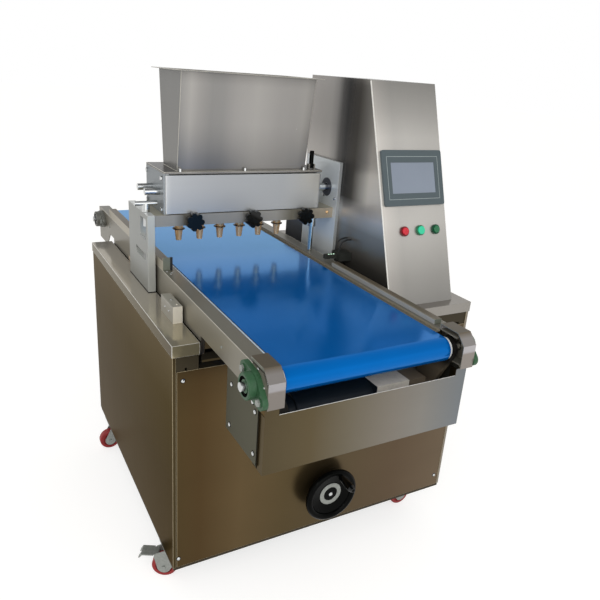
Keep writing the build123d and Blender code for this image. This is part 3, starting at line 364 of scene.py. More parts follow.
# Console front: the bright strip at its left edge is a painted highlight; darker towards the bottom and
# the top by painted shade
console_front = [
    (330, tone(226, 221, 213)),
    (350, tone(214, 209, 202)),
    (366, tone(208, 204, 197)),
    (395, tone(196, 193, 187)),
    (571, tone(193, 190, 184)),
]
console_front_painted_shade = [
    (822, grey(0.5)),
    (894, grey(0.62)),
    (966, grey(0.8)),
    (1050, grey(1.0)),
    (1290, grey(1.0)),
    (1362, grey(0.75)),
    (1440, grey(0.56)),
]
# Console left side: light and dark bands along it are painted reflection; darker towards the top, and
# nearly black low down near the deck, by painted shade
console_left = [
    (36, tone(220, 215, 206)),
    (120, tone(240, 234, 224)),
    (210, tone(238, 231, 220)),
    (240, tone(196, 192, 184)),
    (270, tone(158, 154, 147)),
    (300, tone(112, 108, 102)),
    (330, tone(98, 95, 91)),
    (360, tone(70, 69, 68)),
    (395, tone(98, 96, 94)),
    (425, tone(163, 160, 156)),
    (460, tone(187, 183, 178)),
    (600, tone(204, 199, 193)),
]
console_side_painted_shade = [(1100, grey(1.0)), (1200, grey(0.85)), (1300, grey(0.64)), (1447, grey(0.64))]
low_left_painted_shade = [
    (815, (0.05, 0.047, 0.042)),
    (900, (0.1, 0.094, 0.084)),
    (950, (0.21, 0.197, 0.176)),
    (1000, (0.33, 0.31, 0.278)),
    (1050, (0.76, 0.745, 0.72)),
    (1110, (0.8, 0.78, 0.755)),
]
console_steel = steel(
    "console_steel",
    [("X", console_front), ("Z", console_front_painted_shade)],
    [("Y", console_left), ("Z", console_side_painted_shade)],
    grain="Z",
    rough=0.26,
    low_side=[("Z", low_left_painted_shade)],
)
# Hopper front: lighter bands across it are painted reflection and highlights on its folds; darker towards
# the bottom and at the rim by painted shade
hopper_front = [
    (-207, tone(152, 150, 147)),
    (-176, tone(176, 173, 168)),
    (-150, tone(164, 161, 157)),
    (-115, tone(152, 150, 147)),
    (-80, tone(154, 152, 149)),
    (-45, tone(166, 163, 159)),
    (25, tone(176, 173, 168)),
    (100, tone(164, 161, 157)),
    (150, tone(163, 160, 156)),
    (178, tone(168, 165, 160)),
    (207, tone(150, 147, 143)),
]
hopper_painted_shade = [
    (1160, grey(0.66)),
    (1230, grey(0.79)),
    (1300, grey(0.92)),
    (1405, grey(0.92)),
    (1433, grey(0.77)),
    (1438, grey(0.46)),
]
hopper_steel = steel(
    "hopper_steel",
    [("X", hopper_front), ("Z", hopper_painted_shade)],
    tone(144, 143, 140),
    grain="Z",
    rough=0.26,
    edge=(0.4, 0.4, 0.4),
)
# Head front cover: lighter at both ends, painted highlights on its rounded edges
cover_tones = [
    (-244, tone(190, 192, 193)),
    (-226, tone(171, 174, 177)),
    (120, tone(168, 171, 173)),
    (240, tone(183, 183, 179)),
    (261, tone(198, 196, 190)),
]
cover_steel = steel("cover_steel", [("X", cover_tones)], grain="X", rough=0.24, cloud=0.06)
# Plates and posts: separate front, side and top tones, lit and shaded copies of one steel (painted light)
plate_steel = steel(
    "plate_steel",
    tone(188, 190, 186),
    tone(156, 158, 154),
    tone(224, 226, 224),
    grain="Z",
    rough=0.3,
    metal=0.4,
)
end_plate_steel = steel(
    "end_plate_steel",
    tone(156, 161, 164),
    tone(136, 142, 146),
    grain="Z",
    rough=0.3,
    metal=0.4,
)
right_post_steel = steel(
    "right_post_steel",
    tone(176, 178, 176),
    tone(224, 229, 230),
    grain="Z",
    rough=0.3,
    metal=0.3,
)
# Nozzle bar: two dark bands along it are painted reflections of the knobs; its top takes a lighter tone,
# painted light
bar_tones = [
    (-277, tone(150, 148, 143)),
    (-220, tone(150, 148, 143)),
    (-190, tone(108, 106, 100)),
    (-150, tone(146, 144, 139)),
    (110, tone(152, 150, 144)),
    (165, tone(112, 108, 94)),
    (215, tone(160, 154, 140)),
    (318, tone(186, 172, 150)),
]
bar_steel = steel(
    "bar_steel",
    [("X", bar_tones)],
    top=tone(182, 177, 158),
    grain="X",
    rough=0.3,
    metal=0.4,
)
# Block, rails and guides: separate front, side and top tones, lit and shaded copies of one steel (painted
# light)
block_steel = steel(
    "block_steel",
    tone(236, 230, 216),
    tone(176, 173, 164),
    tone(168, 166, 155),
    grain="Y",
    rough=0.3,
    metal=0.3,
)
rail_steel = steel(
    "rail_steel",
    tone(128, 124, 112),
    tone(147, 142, 129),
    tone(132, 129, 118),
    grain="Y",
    rough=0.3,
    metal=0.5,
)
guide_steel = steel(
    "guide_steel",
    tone(120, 124, 112),
    tone(188, 180, 162),
    tone(104, 95, 79),
    grain="Y",
    rough=0.3,
    metal=0.4,
)
# End covers: tones by height stand in for the lit and shaded faces of the chamfered front, and the right
# cover is lighter than the left: painted light; side and back take their own tones
cover_face = [
    (826, tone(132, 126, 120)),
    (864, tone(134, 127, 121)),
    (869, tone(166, 163, 165)),
    (898, tone(170, 167, 168)),
    (909, tone(112, 101, 84)),
]
cover_painted_light = [(-271, grey(0.9)), (0, grey(1.0)), (271, grey(1.2))]
end_cover_steel = steel(
    "end_cover_steel",
    [("Z", cover_face), ("X", cover_painted_light)],
    tone(138, 138, 127),
    tone(96, 88, 74),
    grain="X",
    rough=0.3,
    metal=0.4,
)
# Base frame: dark brown, painted shade for the frame under the deck
frame_steel = steel("frame_steel", tone(58, 51, 36), grain="X", rough=0.4, metal=0.5)
# Chain guard: near black at the top, under the conveyor, by painted shade
chain_tones = [
    (673, tone(128, 115, 98)),
    (798, tone(118, 106, 88)),
    (826, tone(28, 26, 23)),
    (890, tone(22, 21, 19)),
]
chain_steel = steel("chain_steel", [("Z", chain_tones)], grain="X", rough=0.4, metal=0.2)
inner_steel = steel("inner_steel", tone(200, 183, 160), grain="X", rough=0.36, metal=0.15)
dark_wall = steel("dark_wall", tone(84, 87, 94), grain="Z", rough=0.3, metal=0.5)
# Pale and tan strips for edges: painted highlights
edge_highlight = plain("edge_highlight", tone(226, 224, 217), rough=0.3, metal=0.3, speckle=0.05)
edge_highlight_tan = plain("edge_highlight_tan", tone(164, 150, 120), rough=0.3, metal=0.4, speckle=0.05)
lip_steel = plain("lip_steel", tone(150, 141, 122), rough=0.35, metal=0.3, speckle=0.05)
# Pale strip for folds: painted highlight
fold_highlight = plain("fold_highlight", tone(190, 186, 174), rough=0.3, metal=0.4, speckle=0.05)
strip_pale = plain("strip_pale", tone(200, 214, 226), rough=0.35, speckle=0.05)

# Turned, cast, painted and moulded materials; a band is its start in millimetres, colour and metal share
chrome = plain("chrome", tone(196, 198, 198), rough=0.14, metal=1.0, speckle=0.04)
zinc = plain("zinc", tone(146, 149, 144), rough=0.36, metal=0.45, speckle=0.1, scale=160.0)
brass = plain("brass", tone(250, 204, 146), rough=0.2, metal=0.5, speckle=0.02, scale=40.0)
bronze = plain("bronze", tone(82, 68, 54), rough=0.35, metal=0.5, speckle=0.08, scale=120.0)
# Belt: deep blue at the front, lighter and paler under the head: painted light that makes up for the
# head's shade, and painted pale reflection
belt_painted_light = [
    (-371, (0, 0.46, 0.66)),
    (-300, (0, 0.54, 0.76)),
    (240, (0, 0.5, 0.7)),
    (430, (1, 0.8, 0.82)),
    (1180, (1, 0.8, 0.82)),
]
belt_blue = plain(
    "belt_blue",
    tone(108, 138, 214),
    rough=0.13,
    metal=0.42,
    speckle=0.04,
    scale=5.0,
    gloss=0.35,
    edge=(0.16, 0.85, 1.0),
    painted_light=[("Y", belt_painted_light)],
)
bearing_bands = [
    (-380, tone(46, 84, 55), 0.0),
    (400, tone(112, 112, 106), 0.4),
    (1190, tone(112, 112, 106), 0.4),
]
bearing_green = banded("bearing_green", "Y", bearing_bands, rough=0.4)
black_gloss = plain("black_gloss", tone(7, 8, 7), rough=0.07, speckle=0.1, gloss=0.04)
knob_black = plain("knob_black", tone(6, 7, 7), rough=0.06, speckle=0.1, gloss=0.35)
black_matte = plain("black_matte", tone(38, 40, 36), rough=0.6, speckle=0.2, gloss=0.3)
gap_black = plain("gap_black", tone(10, 11, 9), rough=0.9, speckle=0.2, gloss=0.1)
rubber_black = plain("rubber_black", tone(18, 19, 20), rough=0.7, speckle=0.2)
bezel_grey = plain("bezel_grey", tone(74, 86, 90), rough=0.45, speckle=0.05, scale=400.0)
bezel_line = plain("bezel_line", tone(150, 160, 160), rough=0.5)
screen_face = plain("screen_face", tone(136, 145, 158), rough=0.12, speckle=0.04, scale=6.0, gloss=0.3)
button_red = plain("button_red", tone(206, 34, 50), rough=0.25)
button_green = plain("button_green", tone(28, 110, 68), rough=0.25)
collar_bands = [
    (330, tone(112, 30, 36), 0.0),
    (462, tone(18, 70, 48), 0.0),
    (571, tone(18, 70, 48), 0.0),
]
collar_dark = banded("collar_dark", "X", collar_bands, rough=0.3)
collar_green = plain("collar_green", tone(10, 104, 66), rough=0.3)
lamp_green = glowing("lamp_green", tone(40, 180, 140), tone(50, 206, 150), 0.28)
led_green = glowing("led_green", tone(200, 235, 210), tone(210, 250, 220), 0.7)
wheel_red = plain("wheel_red", tone(150, 44, 44), rough=0.4, gloss=0.3)
cable_black = plain("cable_black", tone(20, 20, 19), rough=0.5)
# Gearmotor: the gearbox band is near white, brighter than its light grey, as painted light in the shade
# under the belt
motor_bands = [
    (-170, tone(24, 33, 41), 0.0),
    (55, tone(246, 238, 224), 0.0),
    (150, tone(128, 115, 98), 0.1),
    (206, tone(128, 115, 98), 0.1),
    (240, tone(196, 198, 198), 1.0),
]
motor_paint = banded("motor_paint", "X", motor_bands, rough=0.4)
roller_bands = [
    (-310, tone(196, 198, 198), 1.0),
    (-226, tone(205, 208, 206), 0.0),
    (226, tone(196, 198, 198), 1.0),
    (310, tone(196, 198, 198), 1.0),
]
roller_white = banded("roller_white", "X", roller_bands, rough=0.25)

FINISH = {
    "base_frame": frame_steel,
    "cabinet_shell": cabinet_steel,
    "front_panel": panel_steel,
    "left_deck": deck_steel,
    "right_deck": right_deck_steel,
    "left_post": plate_steel,
    "right_post": right_post_steel,
    "nozzle_bar": bar_steel,
    "nozzles": brass,
    "head_end_plates": end_plate_steel,
    "head_front_cover": cover_steel,
    "head_back_plate": plate_steel,
    "hopper": hopper_steel,
    "hopper_thumb_screws": chrome,
    "hopper_lever": black_gloss,
    "console": console_steel,
    "hmi_bezel": bezel_grey,
    "hmi_screen": screen_face,
    "button_collars": collar_dark,
    "lamp_lens": lamp_green,
    "red_button": button_red,
    "green_button": button_green,
    "accessory_block": block_steel,
    "sensor_unit": black_matte,
    "sensor_cable_front": cable_black,
    "sensor_cable_rear": cable_black,
    "stop_rod": chrome,
    "clamp_screw": chrome,
    "conveyor_rails": rail_steel,
    "tray_guides": guide_steel,
    "conveyor_bed": rail_steel,
    "belt": belt_blue,
    "flange_bearings": bearing_green,
    "end_covers": end_cover_steel,
    "front_guard": guard_steel,
    "drive_cradle": cradle_steel,
    "belt_gearmotor": motor_paint,
    "chain_guard": chain_steel,
    "lift_frame": inner_steel,
    "lift_screw": chrome,
    "front_roller": roller_white,
    "rear_roller": roller_white,
    "front_feed_roller": chrome,
    "rear_feed_roller": chrome,
    "handwheel": black_gloss,
    "handwheel_handle": knob_black,
}
# Finishes of the nodes whose names start alike, the longer start first
FAMILY = {"caster_wheel": wheel_red, "caster": zinc, "star_knob": knob_black}
for name, node in nodes.items():
    family = next((finish for start, finish in FAMILY.items() if name.startswith(start)), None)
    node.data.materials.clear()
    node.data.materials.append(FINISH.get(name, family))

# Small edge radii on the sheet, plate and moulded pieces; on some, the rounded faces carry a painted
# highlight
WELD_M = 0.00002
SHARP_DEGREES = 50
EDGE_MM = {
    "left_deck": 0.9,
    "right_deck": 0.9,
    "cabinet_shell": 0.9,
    "front_panel": 0.9,
    "front_guard": 0.9,
    "drive_cradle": 0.9,
    "tray_guides": 1.0,
    "hopper": 0.8,
    "head_end_plates": 1.0,
    "nozzle_bar": 1.0,
    "left_post": 1.0,
    "right_post": 1.0,
    "accessory_block": 1.2,
    "flange_bearings": 1.5,
    "hmi_bezel": 1.5,
    "sensor_unit": 1.5,
    "star_knob_left": 2.5,
    "star_knob_middle": 2.5,
    "star_knob_right": 2.5,
}
HIGHLIGHT_EDGES = {
    "left_deck": edge_highlight,
    "hopper": fold_highlight,
    "front_panel": edge_highlight_tan,
    "cabinet_shell": edge_highlight_tan,
}
for name, width in EDGE_MM.items():
    weld = nodes[name].modifiers.new("weld", "WELD")
    weld.merge_threshold = WELD_M
    edge = nodes[name].modifiers.new("edge", "BEVEL")
    edge.width = width / 1000
    edge.segments = 2
    edge.limit_method = "ANGLE"
    edge.angle_limit = math.radians(SHARP_DEGREES)
    edge.harden_normals = True
    if name in HIGHLIGHT_EDGES:
        nodes[name].data.materials.append(HIGHLIGHT_EDGES[name])
        edge.material = 1


# Builders of the added pieces. A profile is a list of (radius, height) in millimetres, and a box is a
# middle point in metres with a size in millimetres
def add_mesh(name, mesh, material, body):
    piece = bpy.data.objects.new(name, mesh)
    bpy.context.scene.collection.objects.link(piece)
    mesh.materials.append(material)
    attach(piece, body)
    return piece


def turned(name, spots, outward, profile, material, body, sides=24, hollow=False):
    mesh = bpy.data.meshes.new(name)
    shape = bmesh.new()
    turn = Vector((0, 0, 1)).rotation_difference(Vector(outward)).to_matrix().to_4x4()
    for spot in spots:
        rings = []
        for radius, height in profile:
            ring = []
            for i in range(sides):
                angle = 2 * math.pi * i / sides
                local = Vector((radius * math.cos(angle), radius * math.sin(angle), height)) / 1000
                ring.append(shape.verts.new(spot + turn @ local))
            rings.append(ring)
        if hollow:
            rings.append(rings[0])
        else:
            shape.faces.new(list(reversed(rings[0])))
            shape.faces.new(rings[-1])
        for lower, upper in zip(rings, rings[1:]):
            for i in range(sides):
                j = (i + 1) % sides
                shape.faces.new((lower[i], lower[j], upper[j], upper[i]))
    bmesh.ops.recalc_face_normals(shape, faces=shape.faces)
    shape.to_mesh(mesh)
    shape.free()
    return add_mesh(name, mesh, material, body)


def bars(name, boxes, turn, material, body, edge_mm=0.4):
    mesh = bpy.data.meshes.new(name)
    shape = bmesh.new()
    for middle, size in boxes:
        made = bmesh.ops.create_cube(shape, size=1.0)["verts"]
        bmesh.ops.scale(shape, vec=Vector(size) / 1000, verts=made)
        bmesh.ops.transform(shape, matrix=Matrix.Translation(middle) @ turn, verts=made)
    shape.to_mesh(mesh)
    shape.free()
    piece = add_mesh(name, mesh, material, body)
    edge = piece.modifiers.new("edge", "BEVEL")
    edge.width = edge_mm / 1000
    edge.segments = 2
    return piece


BUTTON_HEAD = [(5.0, 0.0), (5.0, 1.2), (3.6, 2.8), (1.6, 3.2)]
SMALL_HEAD = [(3.4, 0.0), (3.4, 0.9), (2.4, 2.0), (1.0, 2.3)]
BOLT_HEAD = [(6.5, 0.0), (6.5, 4.5), (5.8, 5.2)]
DARK_RING = [(6.6, 0.0), (6.6, 0.3), (6.2, 0.4)]
SIDES = ((-1, "left"), (1, "right"))
FRONT = (0, -1, 0)
LEFT = (-1, 0, 0)
UP = (0, 0, 1)
no_turn = Matrix.Identity(4)

# Screws of the front panel
panel_spots = [(-319, 716), (-330.5, 158), (590.7, 169), (582, 724)]
panel_places = [place(x, 0, z) for x, z in panel_spots]
turned("panel_screws", panel_places, FRONT, BUTTON_HEAD, chrome, "base")
turned("panel_screw_rings", panel_places, FRONT, DARK_RING, gap_black, "base")


def side_places(x, spots):
    return [Vector((x, front_y + y / 1000, z / 1000)) for y, z in spots]


# Bolts of the drive cradle, the guard returns, the end covers and the rails, on both sides
cradle_low, cradle_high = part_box("drive_cradle")
rail_low, rail_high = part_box("conveyor_rails")
cradle_spots = [(-193, 796), (-304, 812), (-317, 795), (-188, 690), (-317, 694)]
cover_spots = [(-352, 868), (-352, 842), (-322, 896)]
rail_spots = [(-128, 858), (987, 870), (1006, 854)]
for side, word in SIDES:
    cradle_x = cradle_low.x if side < 0 else cradle_high.x
    rail_x = rail_low.x if side < 0 else rail_high.x
    out = (side, 0, 0)
    spots = side_places(cradle_x, cradle_spots)
    turned(f"cradle_bolts_{word}", spots, out, BUTTON_HEAD, chrome, "conveyor")
    turned(f"cradle_bolt_rings_{word}", spots, out, DARK_RING, gap_black, "conveyor")
    spots = side_places(rail_x, cover_spots)
    turned(f"cover_bolts_{word}", spots, out, SMALL_HEAD, chrome, "conveyor")
    spots = side_places(rail_x, rail_spots)
    turned(f"rail_bolts_{word}", spots, out, SMALL_HEAD, zinc, "conveyor")

# Bolts at the corners of the head's end plates
plate_low, plate_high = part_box("head_end_plates")
corner_inset = 0.014
for side, word in SIDES:
    plate_x = plate_low.x if side < 0 else plate_high.x
    spots = [
        Vector((plate_x, y, z))
        for y in (plate_low.y + corner_inset, plate_high.y - corner_inset)
        for z in (plate_low.z + corner_inset, plate_high.z - corner_inset)
    ]
    turned(f"end_plate_bolts_{word}", spots, (side, 0, 0), BOLT_HEAD, chrome, "base", 6)

# Flange bearings: dark seal in the recess, painted washers and zinc bolt heads. The front ones are tilted
seal_ring = [(21.95, 0.0), (21.95, 7.6), (21.2, 7.6), (21.2, 0.6), (14.7, 0.6), (14.7, 0.0)]
seal_depth = 8.0
barrel_reach = 29.0
bolt_reach = 45.0
flange_reach = 12.0
front_tilt = 25.0
bolt_cap = [(8.4, 0.0), (8.4, 5.6), (7.2, 6.6)]
washer = [(10.5, 0.0), (10.5, 1.4), (10.0, 1.6)]
front_low, front_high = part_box("front_roller")
rear_low, rear_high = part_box("rear_roller")
for side, word in SIDES:
    rail_x = rail_low.x if side < 0 else rail_high.x
    seals = []
    heads = []
    for low, high, tilt in ((front_low, front_high, front_tilt), (rear_low, rear_high, 0.0)):
        axis = (low + high) / 2
        seal_x = rail_x + side * (barrel_reach - seal_depth) / 1000
        seals.append(Vector((seal_x, axis.y, axis.z)))
        lean = math.radians(tilt)
        reach = Vector((0, math.cos(lean), math.sin(lean))) * bolt_reach / 1000
        for way in (-1, 1):
            heads.append(Vector((rail_x + side * flange_reach / 1000, axis.y, axis.z)) + way * reach)
    out = (side, 0, 0)
    turned(f"bearing_seals_{word}", seals, out, seal_ring, gap_black, "conveyor", 40, True)
    turned(f"bearing_washers_{word}", heads, out, washer, bearing_green, "conveyor", 24)
    turned(f"bearing_bolts_{word}", heads, out, bolt_cap, zinc, "conveyor", 6)

# Left tray guide: dark edge strip and screws at its foot
guide_end = place(-246.5, 323.5, 916.5)
bars("guide_edge", [(guide_end, (7.0, 5.0, 38.0))], no_turn, rubber_black, "conveyor")
guide_spots = [place(x, y, 897) for x, y in ((-262, 312), (-252, 300), (-258, 288))]
turned("guide_screws", guide_spots, UP, SMALL_HEAD, chrome, "conveyor")

# Along the rails: strips on the bed's edges, the rails' inner lips, outer folds with a painted highlight,
# and skirts with dark strips of painted shadow that close the gap down to the decks
strip_length = 1370.0
strip_middle = 401.5
strip_tones = {"left": strip_pale, "right": rail_steel}
strip_middles = {"left": -221.5, "right": 226.0}
strip_widths = {"left": 3.6, "right": 12.0}
fold_length = 1450.0
fold_middle = 430.0
skirt_length = 930.0
skirt_middle = 477.0
for side, word in SIDES:
    strip = [(place(strip_middles[word], strip_middle, 887.5), (strip_widths[word], strip_length, 1.6))]
    bars(f"bed_strip_{word}", strip, no_turn, strip_tones[word], "conveyor")
    lip = [(place(side * 233.4, strip_middle, 892.0), (1.4, strip_length, 8.6))]
    bars(f"rail_lip_{word}", lip, no_turn, lip_steel, "conveyor", 0.3)
    fold = [(place(side * 270.6, fold_middle, 896.6), (1.6, fold_length, 1.6))]
    bars(f"rail_fold_{word}", fold, no_turn, fold_highlight, "conveyor", 0.7)
    skirt = [(place(side * 269.5, skirt_middle, 820.0), (1.6, skirt_length, 16.0))]
    bars(f"rail_skirt_{word}", skirt, no_turn, rail_steel, "conveyor")
    shadow_line = [(place(side * 269.5, skirt_middle, 806.0), (1.6, skirt_length, 12.0))]
    bars(f"rail_shadow_line_{word}", shadow_line, no_turn, gap_black, "conveyor")

# Left post: painted shadow line at its foot and the bolt in its slot; right post: two screws
foot = [
    (place(-299.3, 481, 816.2), (1.0, 212.0, 2.2)),
    (place(-288, 374.8, 816.2), (22.0, 1.0, 2.2)),
]
bars("post_foot_shadow", foot, no_turn, gap_black, "base", 0.2)
turned("post_bolt", [place(-299, 500.4, 923)], LEFT, BUTTON_HEAD, zinc, "base")
post_spots = [place(318, 446, 1073.6), place(318, 376, 1073.3)]
turned("right_post_screws", post_spots, LEFT, BUTTON_HEAD, chrome, "base")

# Nozzle collars, the bolt of the bar's right end, and the ring and sleeve round the feed roller's shaft
nozzle_pitch = 67
nozzle_middle = -10
nozzle_spots = [place(nozzle_middle + (i - 2.5) * nozzle_pitch, 468, 978) for i in range(6)]
collar = [(13.0, 0.0), (18.4, 0.4), (18.9, 1.0), (18.9, 2.4), (18.4, 3.0), (13.0, 3.0)]
turned("nozzle_collars", nozzle_spots, UP, collar, bronze, "base", 24, True)
turned("bar_bolt", [place(296.5, 381, 1029)], FRONT, BUTTON_HEAD, brass, "base")
sleeve = [(12.5, 0.0), (12.5, 50.0), (11.5, 51.0), (9.0, 51.0), (9.0, 0.0)]
post_ring = [(30.0, 0.0), (30.0, 2.0), (28.0, 3.0), (14.0, 3.0), (14.0, 0.0)]
ring_spot = place(318, 430, 1103)
sleeve_spot = place(265.5, 430, 1103)
turned("post_bearing", [ring_spot], LEFT, post_ring, dark_wall, "base", 40, True)
turned("feed_sleeve", [sleeve_spot], (1, 0, 0), sleeve, chrome, "front_feed_roller", 32, True)

# Front guard: painted highlight along its top edge, and the dark joint where its returns meet the cradle
guard_top = [(place(0, -356.3, 802.3), (471.0, 1.4, 0.8))]
bars("guard_top_highlight", guard_top, no_turn, edge_highlight, "conveyor", 0.3)
joints = [(place(x, -333.0, 748.0), (1.0, 2.4, 150.0)) for x in (-271.2, 271.2)]
bars("guard_joints", joints, no_turn, gap_black, "conveyor", 0.2)

# Black strip across the left rail's rear end: painted shade for the shaded opening of a slot
rail_slot_shade = [(place(-257.5, 1002, 897.1), (21.0, 3.0, 0.8))]
bars("rail_slot_shade", rail_slot_shade, no_turn, gap_black, "conveyor", 0.2)

# The rear of the console's left wall, seen under the bar, dark by painted shade
wall = [
    (place(331, 661, 887), (2.0, 122.0, 144.0)),
    (place(340, 721, 887), (20.0, 2.0, 144.0)),
]
bars("console_rear_wall", wall, no_turn, dark_wall, "base")

# Painted highlight along the folded edge of the console's sloped front
console_lean = 222.0
console_rise = 632.0
console_foot = place(331.6, 36, 815)
slope = math.atan2(console_lean, console_rise)
tip = Matrix.Rotation(-slope, 4, "X")
outward = Vector((0, -math.cos(slope), math.sin(slope)))
uphill = Vector((0, math.sin(slope), math.cos(slope)))
edge_middle = console_foot + Vector((0, console_lean, console_rise)) / 2000
edge_length = math.hypot(console_lean, console_rise) - 4.0
edge_sink = 0.0012
edge_box = [(edge_middle - outward * edge_sink, (4.0, 3.0, edge_length))]
bars("console_edge_highlight", edge_box, tip, edge_highlight, "base", 1.2)

# Accessory block: screws in its drilled holes
block_low, block_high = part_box("accessory_block")
block_z = (block_low.z + block_high.z) / 2
block_y = (block_low.y + block_high.y) / 2
screw_reach = 0.017
side_spots = [Vector((block_low.x, block_y + way * screw_reach, block_z)) for way in (-1, 1)]
turned("block_screws", side_spots, LEFT, SMALL_HEAD, chrome, "base")
block_top = Vector(((block_low.x + block_high.x) / 2, block_y, block_high.z))
turned("block_top_screw", [block_top], UP, SMALL_HEAD, chrome, "base")

# Handwheel: bright hub ring, dark dish and centre screw
wheel_low, wheel_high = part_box("handwheel")
wheel_centre = (wheel_low + wheel_high) / 2
hub_front_mm = -36.5
wheel_axis = Vector((wheel_centre.x, front_y + hub_front_mm / 1000, wheel_centre.z))
hub_ring = [(37.0, -0.5), (37.0, 1.0), (36.0, 1.6), (24.0, 1.6), (23.0, 0.4), (0.1, 0.4)]
turned("handwheel_ring", [wheel_axis], FRONT, hub_ring, zinc, "handwheel", 48)
hub_dish = [(23.0, 0.3), (22.5, 0.9), (0.1, 0.9)]
turned("handwheel_dish", [wheel_axis], FRONT, hub_dish, black_gloss, "handwheel", 48)
hub_screw = [(7.0, 0.8), (7.0, 3.0), (5.0, 4.2)]
turned("handwheel_screw", [wheel_axis], FRONT, hub_screw, chrome, "handwheel", 6)

# Screen unit: thin printed frame line round the display, and the lamp's green collar
bezel_low, bezel_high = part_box("hmi_bezel")
bezel_half = 83.0
bezel_middle = Vector((
    (bezel_low.x + bezel_high.x) / 2,
    bezel_low.y + math.sin(slope) * bezel_half / 1000,
    bezel_high.z - math.cos(slope) * bezel_half / 1000,
))
line_half_width = 96.0
line_half_height = 63.5
line_thick = 1.6
line_deep = 0.6
line_boxes = []
for way in (-1, 1):
    above = bezel_middle + uphill * way * line_half_height / 1000
    line_boxes.append((above, (line_half_width * 2, line_deep, line_thick)))
    across = bezel_middle + Vector((way * line_half_width / 1000, 0, 0))
    line_boxes.append((across, (line_thick, line_deep, line_half_height * 2)))
bars("bezel_frame_line", line_boxes, tip, bezel_line, "base", 0.1)
lamp_low, lamp_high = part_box("lamp_lens")
lamp_middle = (lamp_low + lamp_high) / 2
collar_ring = [(15.4, -6.0), (15.4, 1.0), (14.4, 1.8), (12.2, 1.8), (12.2, -6.0)]
turned("lamp_collar", [lamp_middle], outward, collar_ring, collar_green, "base", 40, True)

# Tray sensor: three indicator lights on its top
sensor_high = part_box("sensor_unit")[1]
light_spots = [place(x, 283, 916) for x in (256, 265, 274)]
light_dome = [(2.6, -0.5), (2.6, 0.8), (1.6, 1.4)]
turned("sensor_lights", light_spots, UP, light_dome, led_green, "base", 16)

# Sensor cables: two short cables from the sensor into the console wall
cable_radius = 0.0025
run = 0.024
step = run * math.sqrt(0.5)
for name in ("front", "rear"):
    low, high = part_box(f"sensor_cable_{name}")
    middle_y = (low.y + high.y) / 2
    start = Vector((low.x + cable_radius, middle_y, sensor_high.z))
    route = [
        start,
        start + Vector((0, 0, run)),
        start + Vector((step, 0, run + step)),
        Vector((high.x, middle_y, start.z + run + step)),
    ]
    curve = bpy.data.curves.new(f"sensor_cable_{name}_line", "CURVE")
    curve.dimensions = "3D"
    spline = curve.splines.new("NURBS")
    spline.points.add(len(route) - 1)
    for point, spot in zip(spline.points, route):
        point.co = (*spot, 1.0)
    spline.order_u = 3
    spline.use_endpoint_u = True
    curve.bevel_depth = cable_radius
    curve.bevel_resolution = 3
    curve.materials.append(cable_black)
    cable = bpy.data.objects.new(f"sensor_cable_{name}_line", curve)
    bpy.context.scene.collection.objects.link(cable)
    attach(cable, "base")
    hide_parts(f"sensor_cable_{name}")


# Stage: pale floor that keeps the shadow, pale room, soft light and the camera of the photograph.
# The floor's glow is seen by the camera and in reflections and puts no light on the object's matt share
def stage_floor():
    mesh = bpy.data.meshes.new("floor")
    reach = 30.0
    corners = [(reach * x, reach * y, 0) for x, y in ((-1, -1), (1, -1), (1, 1), (-1, 1))]
    mesh.from_pydata(corners, [], [(0, 1, 2, 3)])
    floor = bpy.data.objects.new("floor", mesh)
    bpy.context.scene.collection.objects.link(floor)
    material, tree, shader = new_material("floor_pale")
    tree.nodes.remove(shader)
    matte = tree.nodes.new("ShaderNodeBsdfDiffuse")
    matte.inputs["Color"].default_value = (0.5, 0.49, 0.47, 1.0)
    glow = tree.nodes.new("ShaderNodeEmission")
    glow.inputs["Strength"].default_value = 0.68
    pale = tree.nodes.new("ShaderNodeAddShader")
    tree.links.new(matte.outputs["BSDF"], pale.inputs[0])
    tree.links.new(glow.outputs["Emission"], pale.inputs[1])
    path = tree.nodes.new("ShaderNodeLightPath")
    seen = tree.nodes.new("ShaderNodeMath")
    seen.operation = "ADD"
    seen_through = tree.nodes.new("ShaderNodeMath")
    seen_through.operation = "ADD"
    seen_through.use_clamp = True
    tree.links.new(path.outputs["Is Camera Ray"], seen.inputs[0])
    tree.links.new(path.outputs["Is Glossy Ray"], seen.inputs[1])
    tree.links.new(seen.outputs["Value"], seen_through.inputs[0])
    tree.links.new(path.outputs["Is Transmission Ray"], seen_through.inputs[1])
    blend = tree.nodes.new("ShaderNodeMixShader")
    tree.links.new(seen_through.outputs["Value"], blend.inputs["Fac"])
    tree.links.new(matte.outputs["BSDF"], blend.inputs[1])
    tree.links.new(pale.outputs["Shader"], blend.inputs[2])
    tree.links.new(blend.outputs["Shader"], tree.nodes["Material Output"].inputs["Surface"])
    mesh.materials.append(material)


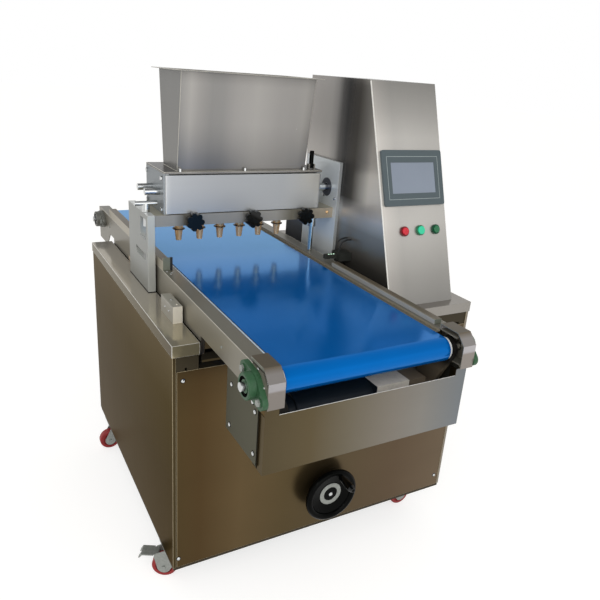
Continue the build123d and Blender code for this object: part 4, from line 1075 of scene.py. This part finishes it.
def stage_world():
    world = bpy.data.worlds.new("studio")
    bpy.context.scene.world = world
    world.use_nodes = True
    tree = world.node_tree
    coords = tree.nodes.new("ShaderNodeTexCoord")
    split = tree.nodes.new("ShaderNodeSeparateXYZ")
    tree.links.new(coords.outputs["Generated"], split.inputs["Vector"])
    room = [(0.0, grey(1.0)), (0.28, grey(1.0)), (0.5, grey(0.72)), (1.0, grey(0.5))]
    tree.links.new(ramp(tree, split.outputs["Z"], room), tree.nodes["Background"].inputs["Color"])


def soft_light(name, spot, target, size, power):
    light = bpy.data.lights.new(name, "AREA")
    light.size = size
    light.energy = power
    lamp = bpy.data.objects.new(name, light)
    lamp.location = spot
    lamp.rotation_euler = (Vector(target) - Vector(spot)).to_track_quat("-Z", "Y").to_euler()
    bpy.context.scene.collection.objects.link(lamp)


def photo_camera():
    azimuth = math.radians(-30.064)
    elevation = math.radians(20.558)
    roll = math.radians(4.284)
    level = math.cos(elevation)
    forward = Vector((-math.sin(azimuth) * level, math.cos(azimuth) * level, -math.sin(elevation)))
    right = forward.cross(Vector((0, 0, 1))).normalized()
    up = right.cross(forward)
    rolled_right = math.cos(roll) * right + math.sin(roll) * up
    rolled_up = math.cos(roll) * up - math.sin(roll) * right
    data = bpy.data.cameras.new("photo_camera")
    data.sensor_width = 36.0
    data.lens = 36.698
    camera = bpy.data.objects.new("photo_camera", data)
    turn = Matrix((rolled_right, rolled_up, -forward)).transposed().to_4x4()
    stand = place(-755.03, -1302.70, 1458.55)
    camera.matrix_world = Matrix.Translation(stand) @ turn
    bpy.context.scene.collection.objects.link(camera)
    bpy.context.scene.camera = camera


stage_floor()
stage_world()
soft_light("key", spot=(-1.8, -2.6, 3.6), target=(0, 0, 0.8), size=1.6, power=24)
soft_light("fill", spot=(-0.6, -2.7, 1.5), target=(0, 0, 0.8), size=2.6, power=23)
soft_light("glint", spot=(-2.2, -2.4, 2.2), target=(0, 0, 0.6), size=0.4, power=5)
photo_camera()
bpy.context.scene.view_settings.view_transform = "Standard"
